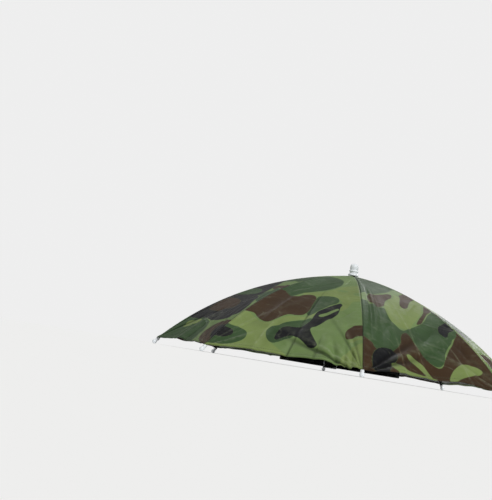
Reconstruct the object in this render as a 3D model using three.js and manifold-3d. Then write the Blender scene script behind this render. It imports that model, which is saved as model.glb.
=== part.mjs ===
// Umbrella hat, open: eight cloth gores on a steel rib frame, carried on an elastic headband.
// Millimetres, +Z up, the eight tip feet stand on z = 0, the wearer faces -Y.

import * as THREE from 'three';
import { mergeVertices } from 'three/addons/utils/BufferGeometryUtils.js';
import Module from 'manifold-3d';

const wasm = await Module();
wasm.setup();

// Frame
const RIB_COUNT = 8;
const FIRST_RIB = 22.5; // degrees from +X, so that a gore faces the front
const TIP_REACH = 300; // axis to the middle of a tip ball
const RIB_RISE = 152.5; // tip ball up to where the ribs' centre lines meet
const RIB_BOW = 31; // how far a rib bends out from its chord
const RIB_WIDTH = 2.6;
const RIB_DEPTH = 2.2;
const RIB_WALL = 0.55;
const CLEARANCE = 0.3;

// Tips
const BALL_RADIUS = 3.6;
const FOOT_CUT = 0.3; // what the flat foot takes off the ball
const SLEEVE_RADIUS = 2.6;
const SLEEVE_MOUTH_RADIUS = 2.4;
const SLEEVE_LENGTH = 9; // ball centre to the sleeve's open end
const SLEEVE_BORE = 2.05;
const SLEEVE_FLOOR = 3.4; // ball centre to the bottom of the sleeve's bore

// Cloth
const CLOTH_WALL = 1.1;
const RIDGE_ROOM = 0.45; // lifts the cloth's ridge clear of a rib's square edges
const APEX_HOLE = 3.7;
const CORNER_GAP = 0.4; // cloth corner to the sleeve
const HEM_SCALLOP = 7; // how far the middle of a hem is cut back
const GORE_SAG = 4.5; // how far a gore hangs in from the straight line between two ribs
const FOLD_DEPTH = 2.2; // storage folds that still show in the open gores

// Middle
const SHAFT_RADIUS = 3;
const SHAFT_WALL = 0.8;
const HUB_RADIUS = 7;
const HUB_HEIGHT = 6;
const RUNNER_RADIUS = 7;
const RUNNER_HEIGHT = 8;
const RUNNER_FLOOR = 123; // underside of the runner, just above the wearer's head
const FINIAL_RADIUS = 8.5;
const FINIAL_HEIGHT = 20;
const FINIAL_SOCKET = 8; // how deep the shaft stands in the finial

// Stretchers
const STRETCHER_PLACE = 0.22; // share of the rib, from the hub, where a stretcher meets it
const STRETCHER_WIDTH = 2.2;
const STRETCHER_DEPTH = 1.8;

// Headband and what carries it
const BAND_HALF_WIDTH = 82; // outer, ear to ear
const BAND_HALF_LENGTH = 100; // outer, forehead to back
const BAND_WALL = 1.3;
const BAND_FLOOR = 7.5;
const BAND_HEIGHT = 20;
const STAY_PLACE = 0.5; // share of the rib, from the hub, where a stay meets it
const STAY_RADIUS = 1;
const CLIP_WIDTH = 7;
const CLIP_DEPTH = 4.4;
const CLIP_DROP = 6; // how far a clip reaches down over the band
const CLIP_TOP = 2; // plastic above the band's edge
const COLLAR_RADIUS = 2.2;
const COLLAR_LENGTH = 6;
const COLLAR_SOCKET = 4.5;

// Slider
const SLIDER_AZIMUTH = -37.5; // degrees from +X, at the wearer's left temple
const SLIDER_WIDTH = 21;
const SLIDER_BAR = 1.8;
const SLIDER_CORNER = 2.4;

// A gore from the apex to its hem: shares of GORE_SAG and FOLD_DEPTH
const GORE_SECTIONS = [
  { along: 0, sag: 0, fold: 0 },
  { along: 0.15, sag: 0.12, fold: 0.1 },
  { along: 0.4, sag: 0.6, fold: 0.6 },
  { along: 0.7, sag: 1, fold: 1 },
  { along: 1, sag: 0.55, fold: 0.7 },
];

// The storage folds across a gore, from one rib (0) to the next (1): shares of FOLD_DEPTH
const GORE_FOLDS = [
  { across: 0.25, halfWidth: 0.125, depth: 0.45 },
  { across: 0.5, halfWidth: 0.125, depth: 1 },
  { across: 0.75, halfWidth: 0.125, depth: 0.35 },
];

const ROWS = 14; // cloth rows from apex to hem
const COLUMNS = 8; // cloth columns across a gore
const RIB_STEPS = 12;
const BAND_STEPS = 56;
const TURNED_SIDES = 20;
const TIP_SIDES = 14;
const BALL_STEPS = 8;
const ROD_SIDES = 8;
const COLLAR_SIDES = 12;

const radians = THREE.MathUtils.degToRad;
const RIB_TURN = (2 * Math.PI) / RIB_COUNT;
const FOOT_DROP = BALL_RADIUS - FOOT_CUT;
const RIB_CHORD = Math.hypot(TIP_REACH, RIB_RISE);
const CLOTH_LIFT = RIB_DEPTH / 2 + CLEARANCE + RIDGE_ROOM;

const finish = {
  camouflage: { color: 0x5b7b46, roughness: 0.85, metalness: 0 },
  whitePlastic: { color: 0xe9ecee, roughness: 0.35, metalness: 0 },
  blackSteel: { color: 0x1c1c1e, roughness: 0.45, metalness: 0.8 },
  blackNylon: { color: 0x1f1f21, roughness: 0.5, metalness: 0 },
  blackElastic: { color: 0x17171a, roughness: 0.95, metalness: 0 },
};

const hat = new THREE.Group();

function addPiece(name, geometry, material) {
  const mesh = new THREE.Mesh(geometry, new THREE.MeshStandardMaterial(material));
  mesh.name = name;
  hat.add(mesh);
  return mesh;
}

function ribAngle(index) {
  return radians(FIRST_RIB) + index * RIB_TURN;
}

// Centre line of a rib: share 0 is on the axis, 1 is the tip ball
function ribLine(share) {
  const bow = 4 * RIB_BOW * share * (1 - share);
  const slope = 4 * RIB_BOW * (1 - 2 * share);
  const radius = TIP_REACH * share + (bow * RIB_RISE) / RIB_CHORD;
  const height = FOOT_DROP + RIB_RISE * (1 - share) + (bow * TIP_REACH) / RIB_CHORD;
  const along = new THREE.Vector2(
    TIP_REACH + (slope * RIB_RISE) / RIB_CHORD,
    -RIB_RISE + (slope * TIP_REACH) / RIB_CHORD,
  ).normalize();
  return { radius, height, along, out: new THREE.Vector2(-along.y, along.x) };
}

function ribPoint(angle, share, lift) {
  const line = ribLine(share);
  const radius = line.radius + line.out.x * lift;
  return new THREE.Vector3(
    radius * Math.cos(angle),
    radius * Math.sin(angle),
    line.height + line.out.y * lift,
  );
}

// Share of the rib whose centre line is at a radius, by halving
function shareAtRadius(radius) {
  let low = 0;
  let high = 1;
  for (let step = 0; step < 40; step += 1) {
    const middle = (low + high) / 2;
    if (ribLine(middle).radius < radius) low = middle;
    else high = middle;
  }
  return low;
}

// Share of the rib that ends a length short of the tip ball
function shareShortOfTip(length) {
  const tip = ribLine(1);
  return 1 - length / Math.hypot(tip.along.x * RIB_CHORD, tip.along.y * RIB_CHORD);
}

function closedGeometry(points, triangles) {
  let volume = 0;
  const cross = new THREE.Vector3();
  for (const [a, b, c] of triangles) {
    volume += points[a].dot(cross.crossVectors(points[b], points[c]));
  }
  const turned = volume < 0 ? triangles.map(([a, b, c]) => [a, c, b]) : triangles;
  const geometry = new THREE.BufferGeometry();
  geometry.setAttribute(
    'position',
    new THREE.Float32BufferAttribute(points.flatMap((point) => point.toArray()), 3),
  );
  geometry.setIndex(turned.flat());
  geometry.computeVertexNormals();
  return geometry;
}

// Skin through rings of equal count: closed as a loop, or capped at both ends
function loft(rings, caps) {
  const count = rings[0].length;
  const triangles = [];
  const spans = caps ? rings.length - 1 : rings.length;
  for (let row = 0; row < spans; row += 1) {
    const next = (row + 1) % rings.length;
    for (let k = 0; k < count; k += 1) {
      const l = (k + 1) % count;
      const [a, b, c, d] = [row * count + k, row * count + l, next * count + l, next * count + k];
      triangles.push([a, b, c], [a, c, d]);
    }
  }
  if (caps) {
    const last = (rings.length - 1) * count;
    for (const [a, b, c] of caps) {
      triangles.push([a, c, b], [last + a, last + b, last + c]);
    }
  }
  return closedGeometry(rings.flat(), triangles);
}

function toSolid(geometry) {
  const bare = new THREE.BufferGeometry();
  bare.setAttribute('position', geometry.getAttribute('position').clone());
  if (geometry.index) bare.setIndex(geometry.index.clone());
  const merged = mergeVertices(bare, 1e-4);
  return new wasm.Manifold(
    new wasm.Mesh({
      numProp: 3,
      vertProperties: new Float32Array(merged.getAttribute('position').array),
      triVerts: new Uint32Array(merged.index.array),
    }),
  );
}

function toGeometry(solid) {
  const mesh = solid.getMesh();
  const geometry = new THREE.BufferGeometry();
  geometry.setAttribute('position', new THREE.Float32BufferAttribute(mesh.vertProperties, 3));
  geometry.setIndex(new THREE.Uint32BufferAttribute(mesh.triVerts, 1));
  geometry.computeVertexNormals();
  return geometry;
}

// Turned piece about +Z from [radius, height] pairs
function turned(profile, sides) {
  const points = profile.map(([radius, height]) => new THREE.Vector2(radius, height));
  return mergeVertices(bareTurn(points, sides), 1e-4);
}

function bareTurn(points, sides) {
  const geometry = new THREE.LatheGeometry(points, sides);
  geometry.deleteAttribute('normal');
  geometry.deleteAttribute('uv');
  geometry.rotateX(Math.PI / 2);
  return geometry;
}

function tube(innerRadius, outerRadius, floor, top) {
  return turned(
    [
      [innerRadius, floor],
      [outerRadius, floor],
      [outerRadius, top],
      [innerRadius, top],
      [innerRadius, floor],
    ],
    TURNED_SIDES,
  );
}

function between(table, key, along) {
  const next = Math.max(1, table.findIndex((row) => row.along >= along));
  const [low, high] = [table[next - 1], table[next]];
  const share = (along - low.along) / (high.along - low.along);
  return THREE.MathUtils.lerp(low[key], high[key], THREE.MathUtils.smoothstep(share, 0, 1));
}

// How far the cloth lies in from the straight line between two ribs
function goreDrop(along, across) {
  const bulge = 4 * across * (1 - across);
  const folds = GORE_FOLDS.reduce((sum, fold) => {
    const near = Math.max(0, 1 - Math.abs(across - fold.across) / fold.halfWidth);
    return sum + fold.depth * near;
  }, 0);
  return (
    GORE_SAG * between(GORE_SECTIONS, 'sag', along) * bulge +
    FOLD_DEPTH * between(GORE_SECTIONS, 'fold', along) * folds
  );
}

function clothPoint(gore, along, across, lift) {
  const start = shareAtRadius(APEX_HOLE / Math.cos(RIB_TURN / 2));
  const cornerEnd = shareShortOfTip(SLEEVE_LENGTH + CORNER_GAP);
  const scallop = (HEM_SCALLOP * 4 * across * (1 - across)) / RIB_CHORD;
  const share = start + along * (cornerEnd - scallop - start);
  const left = ribPoint(ribAngle(gore), share, lift);
  const right = ribPoint(ribAngle(gore + 1), share, lift);
  const middle = ribAngle(gore) + RIB_TURN / 2;
  const out = ribLine(share).out;
  const drop = goreDrop(along, across);
  const inward = new THREE.Vector3(out.x * Math.cos(middle), out.x * Math.sin(middle), out.y);
  return left.lerp(right, across).addScaledVector(inward, -drop);
}

function makeCanopy() {
  const rings = [];
  const lifts = [CLOTH_LIFT + CLOTH_WALL, CLOTH_LIFT];
  lifts.forEach((lift, side) => {
    for (let row = 0; row <= ROWS; row += 1) {
      const along = side === 0 ? row / ROWS : 1 - row / ROWS;
      const ring = [];
      for (let gore = 0; gore < RIB_COUNT; gore += 1) {
        for (let column = 0; column < COLUMNS; column += 1) {
          ring.push(clothPoint(gore, along, column / COLUMNS, lift));
        }
      }
      rings.push(ring);
    }
  });
  addPiece('canopy', loft(rings, null), { ...finish.camouflage, side: THREE.DoubleSide });
}

// U channel, open to the wearer's side, along the rib's centre line
function makeRib(index) {
  const half = RIB_WIDTH / 2;
  const deep = RIB_DEPTH / 2;
  const section = [
    [-half, -deep],
    [-half + RIB_WALL, -deep],
    [-half + RIB_WALL, deep - RIB_WALL],
    [half - RIB_WALL, deep - RIB_WALL],
    [half - RIB_WALL, -deep],
    [half, -deep],
    [half, deep],
    [-half, deep],
  ].map(([across, up]) => new THREE.Vector2(across, up));
  const caps = THREE.ShapeUtils.triangulateShape(section, []);
  const angle = ribAngle(index);
  const side = new THREE.Vector3(-Math.sin(angle), Math.cos(angle), 0);
  const first = shareAtRadius(HUB_RADIUS + CLEARANCE);
  const last = shareShortOfTip(SLEEVE_FLOOR + CLEARANCE);
  const rings = [];
  for (let step = 0; step <= RIB_STEPS; step += 1) {
    const share = first + ((last - first) * step) / RIB_STEPS;
    rings.push(section.map((at) => ribPoint(angle, share, at.y).addScaledVector(side, at.x)));
  }
  addPiece(`rib_${index + 1}`, loft(rings, caps), finish.blackSteel);
}

// White ball with a tapered sleeve over the rib's end and a small flat foot
function makeTip(index) {
  const profile = [[SLEEVE_BORE, -SLEEVE_LENGTH], [SLEEVE_MOUTH_RADIUS, -SLEEVE_LENGTH]];
  const meeting = Math.PI - Math.asin(SLEEVE_RADIUS / BALL_RADIUS);
  for (let step = 0; step <= BALL_STEPS; step += 1) {
    const turn = meeting * (1 - step / BALL_STEPS);
    profile.push([BALL_RADIUS * Math.sin(turn), BALL_RADIUS * Math.cos(turn)]);
  }
  profile[profile.length - 1][0] = 0;
  profile.push([0, -SLEEVE_FLOOR], [SLEEVE_BORE, -SLEEVE_FLOOR], [SLEEVE_BORE, -SLEEVE_LENGTH]);
  const angle = ribAngle(index);
  const line = ribLine(1);
  const along = new THREE.Vector3(
    line.along.x * Math.cos(angle),
    line.along.x * Math.sin(angle),
    line.along.y,
  );
  const side = new THREE.Vector3(-Math.sin(angle), Math.cos(angle), 0);
  const up = new THREE.Vector3().crossVectors(along, side);
  const pose = new THREE.Matrix4().makeBasis(side, up, along);
  pose.setPosition(ribPoint(angle, 1, 0));
  const ball = turned(profile, TIP_SIDES).applyMatrix4(pose);
  const below = new THREE.BoxGeometry(4 * BALL_RADIUS, 4 * BALL_RADIUS, BALL_RADIUS);
  const centre = ribPoint(angle, 1, 0);
  below.translate(centre.x, centre.y, -BALL_RADIUS / 2);
  const footed = toSolid(ball).subtract(toSolid(below));
  addPiece(`rib_tip_${index + 1}`, toGeometry(footed), finish.whitePlastic);
}

// Round or flat bar between two points, its first side along the given side vector
function bar(from, to, side, section) {
  const along = new THREE.Vector3().subVectors(to, from).normalize();
  const up = new THREE.Vector3().crossVectors(along, side).normalize();
  const caps = THREE.ShapeUtils.triangulateShape(section, []);
  const rings = [from, to].map((end) =>
    section.map((at) => end.clone().addScaledVector(side, at.x).addScaledVector(up, at.y)),
  );
  return loft(rings, caps);
}

function circleSection(radius, sides) {
  return Array.from({ length: sides }, (unused, k) => {
    const turn = (2 * Math.PI * k) / sides;
    return new THREE.Vector2(radius * Math.cos(turn), radius * Math.sin(turn));
  });
}

function rectangleSection(width, depth) {
  return [[-1, -1], [1, -1], [1, 1], [-1, 1]].map(
    ([across, up]) => new THREE.Vector2((across * width) / 2, (up * depth) / 2),
  );
}

function makeStretcher(index) {
  const angle = ribAngle(index);
  const side = new THREE.Vector3(-Math.sin(angle), Math.cos(angle), 0);
  const inner = RUNNER_RADIUS + CLEARANCE;
  const from = new THREE.Vector3(
    inner * Math.cos(angle),
    inner * Math.sin(angle),
    RUNNER_FLOOR + RUNNER_HEIGHT / 2,
  );
  const drop = (RIB_DEPTH + STRETCHER_DEPTH) / 2 + CLEARANCE;
  const to = ribPoint(angle, STRETCHER_PLACE, -drop);
  const section = rectangleSection(STRETCHER_WIDTH, STRETCHER_DEPTH);
  addPiece(`stretcher_${index + 1}`, bar(from, to, side, section), finish.blackSteel);
}

// The band's outline at an ellipse turn, moved out from its outer face
function bandPoint(turn, outward, height) {
  const normal = new THREE.Vector2(
    BAND_HALF_LENGTH * Math.cos(turn),
    BAND_HALF_WIDTH * Math.sin(turn),
  ).normalize();
  return new THREE.Vector3(
    BAND_HALF_WIDTH * Math.cos(turn) + normal.x * outward,
    BAND_HALF_LENGTH * Math.sin(turn) + normal.y * outward,
    height,
  );
}

function bandTurn(azimuth) {
  return Math.atan2(BAND_HALF_WIDTH * Math.sin(azimuth), BAND_HALF_LENGTH * Math.cos(azimuth));
}

// Frame on the band's middle surface: x along the band, y outward, z up
function bandPose(azimuth, height) {
  const turn = bandTurn(azimuth);
  const outward = bandPoint(turn, 1, 0).sub(bandPoint(turn, 0, 0));
  const along = new THREE.Vector3(outward.y, -outward.x, 0);
  const pose = new THREE.Matrix4().makeBasis(along, outward, new THREE.Vector3(0, 0, 1));
  pose.setPosition(bandPoint(turn, -BAND_WALL / 2, height));
  return pose;
}

function makeHeadband() {
  const top = BAND_FLOOR + BAND_HEIGHT;
  const rings = [];
  for (let step = 0; step < BAND_STEPS; step += 1) {
    const turn = (2 * Math.PI * step) / BAND_STEPS;
    rings.push([
      bandPoint(turn, 0, BAND_FLOOR),
      bandPoint(turn, 0, top),
      bandPoint(turn, -BAND_WALL, top),
      bandPoint(turn, -BAND_WALL, BAND_FLOOR),
    ]);
  }
  addPiece('headband', loft(rings, null), finish.blackElastic);
}

function stayLine(index) {
  const angle = ribAngle(index);
  const top = ribPoint(angle, STAY_PLACE, -((RIB_DEPTH + STAY_RADIUS) / 2 + CLEARANCE));
  const foot = new THREE.Vector3(0, 0, CLIP_TOP).applyMatrix4(
    bandPose(angle, BAND_FLOOR + BAND_HEIGHT),
  );
  return { top, foot, along: new THREE.Vector3().subVectors(top, foot).normalize() };
}

function makeStay(index) {
  const { top, foot, along } = stayLine(index);
  const start = foot.clone().addScaledVector(along, COLLAR_LENGTH - COLLAR_SOCKET + CLEARANCE);
  const side = new THREE.Vector3().crossVectors(along, new THREE.Vector3(0, 0, 1)).normalize();
  const section = circleSection(STAY_RADIUS, ROD_SIDES);
  addPiece(`band_stay_${index + 1}`, bar(start, top, side, section), finish.blackSteel);
}

// White plastic end: a saddle over the band's upper edge with a collar for the stay
function makeClip(index) {
  const { foot, along } = stayLine(index);
  const pose = bandPose(ribAngle(index), BAND_FLOOR + BAND_HEIGHT);
  const height = CLIP_TOP + CLIP_DROP;
  const saddle = new THREE.BoxGeometry(CLIP_WIDTH, CLIP_DEPTH, height);
  saddle.translate(0, 0, (CLIP_TOP - CLIP_DROP) / 2);
  const slot = new THREE.BoxGeometry(2 * CLIP_WIDTH, BAND_WALL + 2 * CLEARANCE, 2 * CLIP_DROP);
  slot.translate(0, 0, CLEARANCE - CLIP_DROP);
  const side = new THREE.Vector3().crossVectors(along, new THREE.Vector3(0, 0, 1)).normalize();
  const root = foot.clone().addScaledVector(along, -CLIP_TOP / 2);
  const end = foot.clone().addScaledVector(along, COLLAR_LENGTH);
  const mouth = foot.clone().addScaledVector(along, COLLAR_LENGTH - COLLAR_SOCKET);
  const past = end.clone().addScaledVector(along, COLLAR_RADIUS);
  const collar = bar(root, end, side, circleSection(COLLAR_RADIUS, COLLAR_SIDES));
  const bore = bar(mouth, past, side, circleSection(STAY_RADIUS + CLEARANCE, ROD_SIDES));
  const clip = toSolid(saddle.applyMatrix4(pose))
    .add(toSolid(collar))
    .subtract(toSolid(slot.applyMatrix4(pose)))
    .subtract(toSolid(bore));
  addPiece(`band_clip_${index + 1}`, toGeometry(clip), finish.whitePlastic);
}

function roundedRectangle(PathKind, width, height, corner) {
  const [x, y] = [width / 2, height / 2];
  const path = new PathKind();
  path.moveTo(-x + corner, -y);
  path.lineTo(x - corner, -y);
  path.absarc(x - corner, -y + corner, corner, -Math.PI / 2, 0);
  path.lineTo(x, y - corner);
  path.absarc(x - corner, y - corner, corner, 0, Math.PI / 2);
  path.lineTo(-x + corner, y);
  path.absarc(-x + corner, y - corner, corner, Math.PI / 2, Math.PI);
  path.lineTo(-x, -y + corner);
  path.absarc(-x + corner, -y + corner, corner, Math.PI, 1.5 * Math.PI);
  return path;
}

// Rectangular frame in front of the band, with a bar behind it that the elastic runs over
function makeSlider() {
  const height = BAND_HEIGHT + 2 * (CLEARANCE + SLIDER_BAR);
  const outline = roundedRectangle(THREE.Shape, SLIDER_WIDTH, height, SLIDER_CORNER);
  outline.holes.push(
    roundedRectangle(
      THREE.Path,
      SLIDER_WIDTH - 2 * SLIDER_BAR,
      height - 2 * SLIDER_BAR,
      SLIDER_CORNER - SLIDER_BAR / 2,
    ),
  );
  const front = new THREE.ExtrudeGeometry(outline, {
    depth: SLIDER_BAR,
    bevelEnabled: false,
    curveSegments: 3,
  });
  const bow = SLIDER_WIDTH ** 2 / (8 * BAND_HALF_WIDTH); // room for the band's curve
  const faceGap = BAND_WALL / 2 + CLEARANCE;
  front.rotateX(Math.PI / 2).translate(0, faceGap + SLIDER_BAR, 0);
  const backY = -faceGap - SLIDER_BAR - bow;
  const bridgeDepth = faceGap + SLIDER_BAR - backY;
  const bridgeZ = (height - SLIDER_BAR) / 2;
  const back = new THREE.BoxGeometry(SLIDER_BAR, SLIDER_BAR, height);
  back.translate(0, backY + SLIDER_BAR / 2, 0);
  let slider = toSolid(front).add(toSolid(back));
  for (const level of [-bridgeZ, bridgeZ]) {
    const bridge = new THREE.BoxGeometry(SLIDER_BAR, bridgeDepth, SLIDER_BAR);
    bridge.translate(0, backY + bridgeDepth / 2, level);
    slider = slider.add(toSolid(bridge));
  }
  const pose = bandPose(radians(SLIDER_AZIMUTH), BAND_FLOOR + BAND_HEIGHT / 2);
  addPiece('slider', toGeometry(slider).applyMatrix4(pose), finish.whitePlastic);
}

function makeMiddle() {
  const apex = FOOT_DROP + RIB_RISE;
  const clothTop = ribPoint(0, shareAtRadius(APEX_HOLE), CLOTH_LIFT + CLOTH_WALL).z;
  const seat = clothTop + CLEARANCE;
  const bore = SHAFT_RADIUS + CLEARANCE;
  addPiece('hub', tube(bore, HUB_RADIUS, apex - HUB_HEIGHT, apex), finish.blackNylon);
  addPiece(
    'runner',
    tube(bore, RUNNER_RADIUS, RUNNER_FLOOR, RUNNER_FLOOR + RUNNER_HEIGHT),
    finish.blackNylon,
  );
  const shaftTop = seat + FINIAL_SOCKET - CLEARANCE;
  addPiece(
    'shaft',
    tube(SHAFT_RADIUS - SHAFT_WALL, SHAFT_RADIUS, RUNNER_FLOOR, shaftTop),
    finish.blackSteel,
  );
  makeFinial(seat, bore);
}

// Cap with a flared foot, a neck ring and a rounded top: shares of its radius and height
function makeFinial(seat, bore) {
  const outline = [
    { wide: 1, high: 0 },
    { wide: 1, high: 0.1 },
    { wide: 0.8, high: 0.17 },
    { wide: 0.72, high: 0.3 },
    { wide: 0.86, high: 0.34 },
    { wide: 0.86, high: 0.42 },
    { wide: 0.74, high: 0.47 },
    { wide: 0.78, high: 0.62 },
    { wide: 0.76, high: 0.78 },
    { wide: 0.62, high: 0.91 },
    { wide: 0.36, high: 0.98 },
    { wide: 0, high: 1 },
  ].map((row) => [row.wide * FINIAL_RADIUS, seat + row.high * FINIAL_HEIGHT]);
  const ceiling = seat + FINIAL_SOCKET;
  addPiece(
    'finial',
    turned([[bore, seat], ...outline, [0, ceiling], [bore, ceiling], [bore, seat]], TURNED_SIDES),
    finish.whitePlastic,
  );
}

makeCanopy();
makeMiddle();
makeHeadband();
makeSlider();
for (let index = 0; index < RIB_COUNT; index += 1) {
  makeRib(index);
  makeTip(index);
  makeStretcher(index);
  makeStay(index);
  makeClip(index);
}

export default hat;
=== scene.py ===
"""Open umbrella hat: printed cloth stretched on a steel rib frame, with an elastic headband."""
import math
from collections import namedtuple

import bpy
import numpy as np
from mathutils import Matrix, Vector


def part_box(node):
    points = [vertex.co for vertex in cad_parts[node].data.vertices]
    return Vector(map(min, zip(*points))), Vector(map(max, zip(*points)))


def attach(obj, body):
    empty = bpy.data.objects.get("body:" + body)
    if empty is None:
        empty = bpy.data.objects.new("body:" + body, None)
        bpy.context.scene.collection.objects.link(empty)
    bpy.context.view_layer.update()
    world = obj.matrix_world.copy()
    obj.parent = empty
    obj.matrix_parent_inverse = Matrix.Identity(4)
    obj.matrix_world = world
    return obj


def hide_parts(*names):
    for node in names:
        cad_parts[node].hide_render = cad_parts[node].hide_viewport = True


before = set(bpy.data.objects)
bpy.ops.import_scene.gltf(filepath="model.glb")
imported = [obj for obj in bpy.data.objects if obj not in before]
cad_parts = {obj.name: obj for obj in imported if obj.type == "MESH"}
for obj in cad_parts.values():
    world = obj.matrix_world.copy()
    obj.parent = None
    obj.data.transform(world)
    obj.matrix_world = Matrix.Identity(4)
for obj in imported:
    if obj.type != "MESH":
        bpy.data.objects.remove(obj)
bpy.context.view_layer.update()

MM = 0.001

# Frame of the hat, in metres: the feet stand on z = 0 and the wearer faces -Y
RIBS = 8
RIB_TURN = 2 * math.pi / RIBS
FIRST_RIB = math.radians(22.5)
TIP_REACH = 0.300
RIB_RISE = 0.1525
RIB_BOW = 0.031
BALL_RADIUS = 0.0036
FOOT_DROP = 0.0033
RIB_CHORD = math.hypot(TIP_REACH, RIB_RISE)

# Cloth
CLOTH_ROOM = 0.00185  # rib's centre line to the silver face
CLOTH_WALL = 0.0006
CORNER_LIFT = 0.0010  # the cloth's corners climb onto the sleeves of the tips
CORNER_REACH = 0.018
CORNER_END = 0.0066  # ball centre to the cloth's corner
APEX_HOLE = 0.0037
HEM_SCALLOP = 0.0075
GORE_SAG = 0.0045
HEM_FOLD = 0.0062  # width of the turned-in hem
HEM_THICK = 0.00032
HEM_STITCH = 0.0050  # stitch line to the hem's edge
HEM_STITCH_SINK = 0.00018
HEM_STITCH_WIDTH = 0.0007
SEAM_FOLD = 0.0055  # seam allowance that lies to one side of a seam
SEAM_THICK = 0.00028
SEAM_GROOVE = 0.0007
SEAM_GROOVE_WIDTH = 0.0013
SEAM_LINE = 0.0012  # half width of the dark line along a seam: its dark thread, and painted shade of the groove
FOLD_EDGE = 0.0006  # half of the step at the edge of a folded layer
CLOTH_SPACING = 0.4  # gores lie this far apart in the cloth's flat map

# Headband, outer face
BAND_HALF_WIDTH = 0.082
BAND_HALF_LENGTH = 0.100
BAND_WALL = 0.0013
BAND_FLOOR = 0.0075
BAND_HEIGHT = 0.020
SLIDER_AZIMUTH = math.radians(-37.5)
SLIDER_WIDTH = 0.021
SLIDER_WIRE = 0.0009

# Camera of the photograph: solved from the eight tips, then raised above the floor
PICTURE_WIDTH = 492
PICTURE_HEIGHT = 500
FOCAL_PIXELS = 920.4
CAMERA_AZIMUTH = math.radians(-28.2)
CAMERA_REACH = 1.495
CAMERA_HEIGHT = 0.0010
CAMERA_ROLL = math.radians(8.69)
AIM_HEIGHT = 0.080
AIM_PIXEL = (346.0, 324.0)  # where the axis at that height stands in the picture

# Studio: suns far away with the spread of a softbox, placed in degrees, and a white room
Sun = namedtuple("Sun", "name azimuth elevation spread strength")
SUNS = (
    Sun("key", 6, 34, 10, 1.75),
    Sun("top", -28, 85, 20, 0.5),
    Sun("behind_front", -172, 48, 14, 0.15),
    Sun("behind_high", 141, 45, 14, 0.2),
    Sun("behind_low", 138, 18, 16, 0.2),
)
ROOM_LIGHT = 0.30
ROOM_SEEN = 0.857  # as bright as the floor looks
FLOOR_SIZE = 12.0


def linear(code, alpha=1.0):
    """An sRGB hex colour as linear red, green, blue and alpha."""
    parts = [int(code[k : k + 2], 16) / 255 for k in (1, 3, 5)]
    return (*[c / 12.92 if c <= 0.04045 else ((c + 0.055) / 1.055) ** 2.4 for c in parts], alpha)


def add(tree, kind, inputs=None, **settings):
    """Adds a node with its settings and links; a node given as an input lends its first output."""
    made = tree.nodes.new(kind)
    for key, value in settings.items():
        setattr(made, key, value)
    for key, value in (inputs or {}).items():
        if isinstance(value, bpy.types.Node):
            value = value.outputs[0]
        if isinstance(value, bpy.types.NodeSocket):
            tree.links.new(value, made.inputs[key])
        else:
            made.inputs[key].default_value = value
    return made


def new_material(name):
    material = bpy.data.materials.new(name)
    material.use_nodes = True
    material.node_tree.nodes.clear()
    return material, material.node_tree


def weave(tree, uv, pitch):
    """Height of a plain weave from a UV map in metres: two crossed rows of round threads."""
    split = add(tree, "ShaderNodeSeparateXYZ", {0: uv})
    rows = []
    for axis in (0, 1):
        turns = {0: split.outputs[axis], 1: math.pi / pitch}
        turned = add(tree, "ShaderNodeMath", turns, operation="MULTIPLY")
        rows.append(add(tree, "ShaderNodeMath", {0: turned}, operation="SINE"))
    return add(tree, "ShaderNodeMath", {0: rows[0], 1: rows[1]}, operation="MULTIPLY")


def crumple(tree, uv, cell):
    """Sharp broken lines, one network of creases of about the cell's size in metres: 1 on a line."""
    drift = add(tree, "ShaderNodeTexNoise", {"Vector": uv, "Scale": 0.7 / cell}).outputs["Color"]
    shift = {0: drift, 1: (cell, cell, 0), 2: uv}
    place = add(tree, "ShaderNodeVectorMath", shift, operation="MULTIPLY_ADD")
    cells = {"Vector": place, "Scale": 1 / cell}
    edges = add(tree, "ShaderNodeTexVoronoi", cells, feature="DISTANCE_TO_EDGE")
    fade = {"Value": edges, "From Max": 0.07, "To Min": 1.0, "To Max": 0.0}
    line = add(tree, "ShaderNodeMapRange", fade, interpolation_type="SMOOTHSTEP")
    patchy = add(tree, "ShaderNodeTexNoise", {"Vector": uv, "Scale": 1.3 / cell})
    broken = add(tree, "ShaderNodeMapRange", {"Value": patchy, "From Min": 0.45, "From Max": 0.62})
    return add(tree, "ShaderNodeMath", {0: line, 1: broken}, operation="MULTIPLY")


TONES = {
    "dark_green": "#344B2B",
    "lime": "#72834A",
    "brown": "#3B2A18",
    "black": "#0F1013",
}
BASE_GREEN = "#677E4A"


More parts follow.
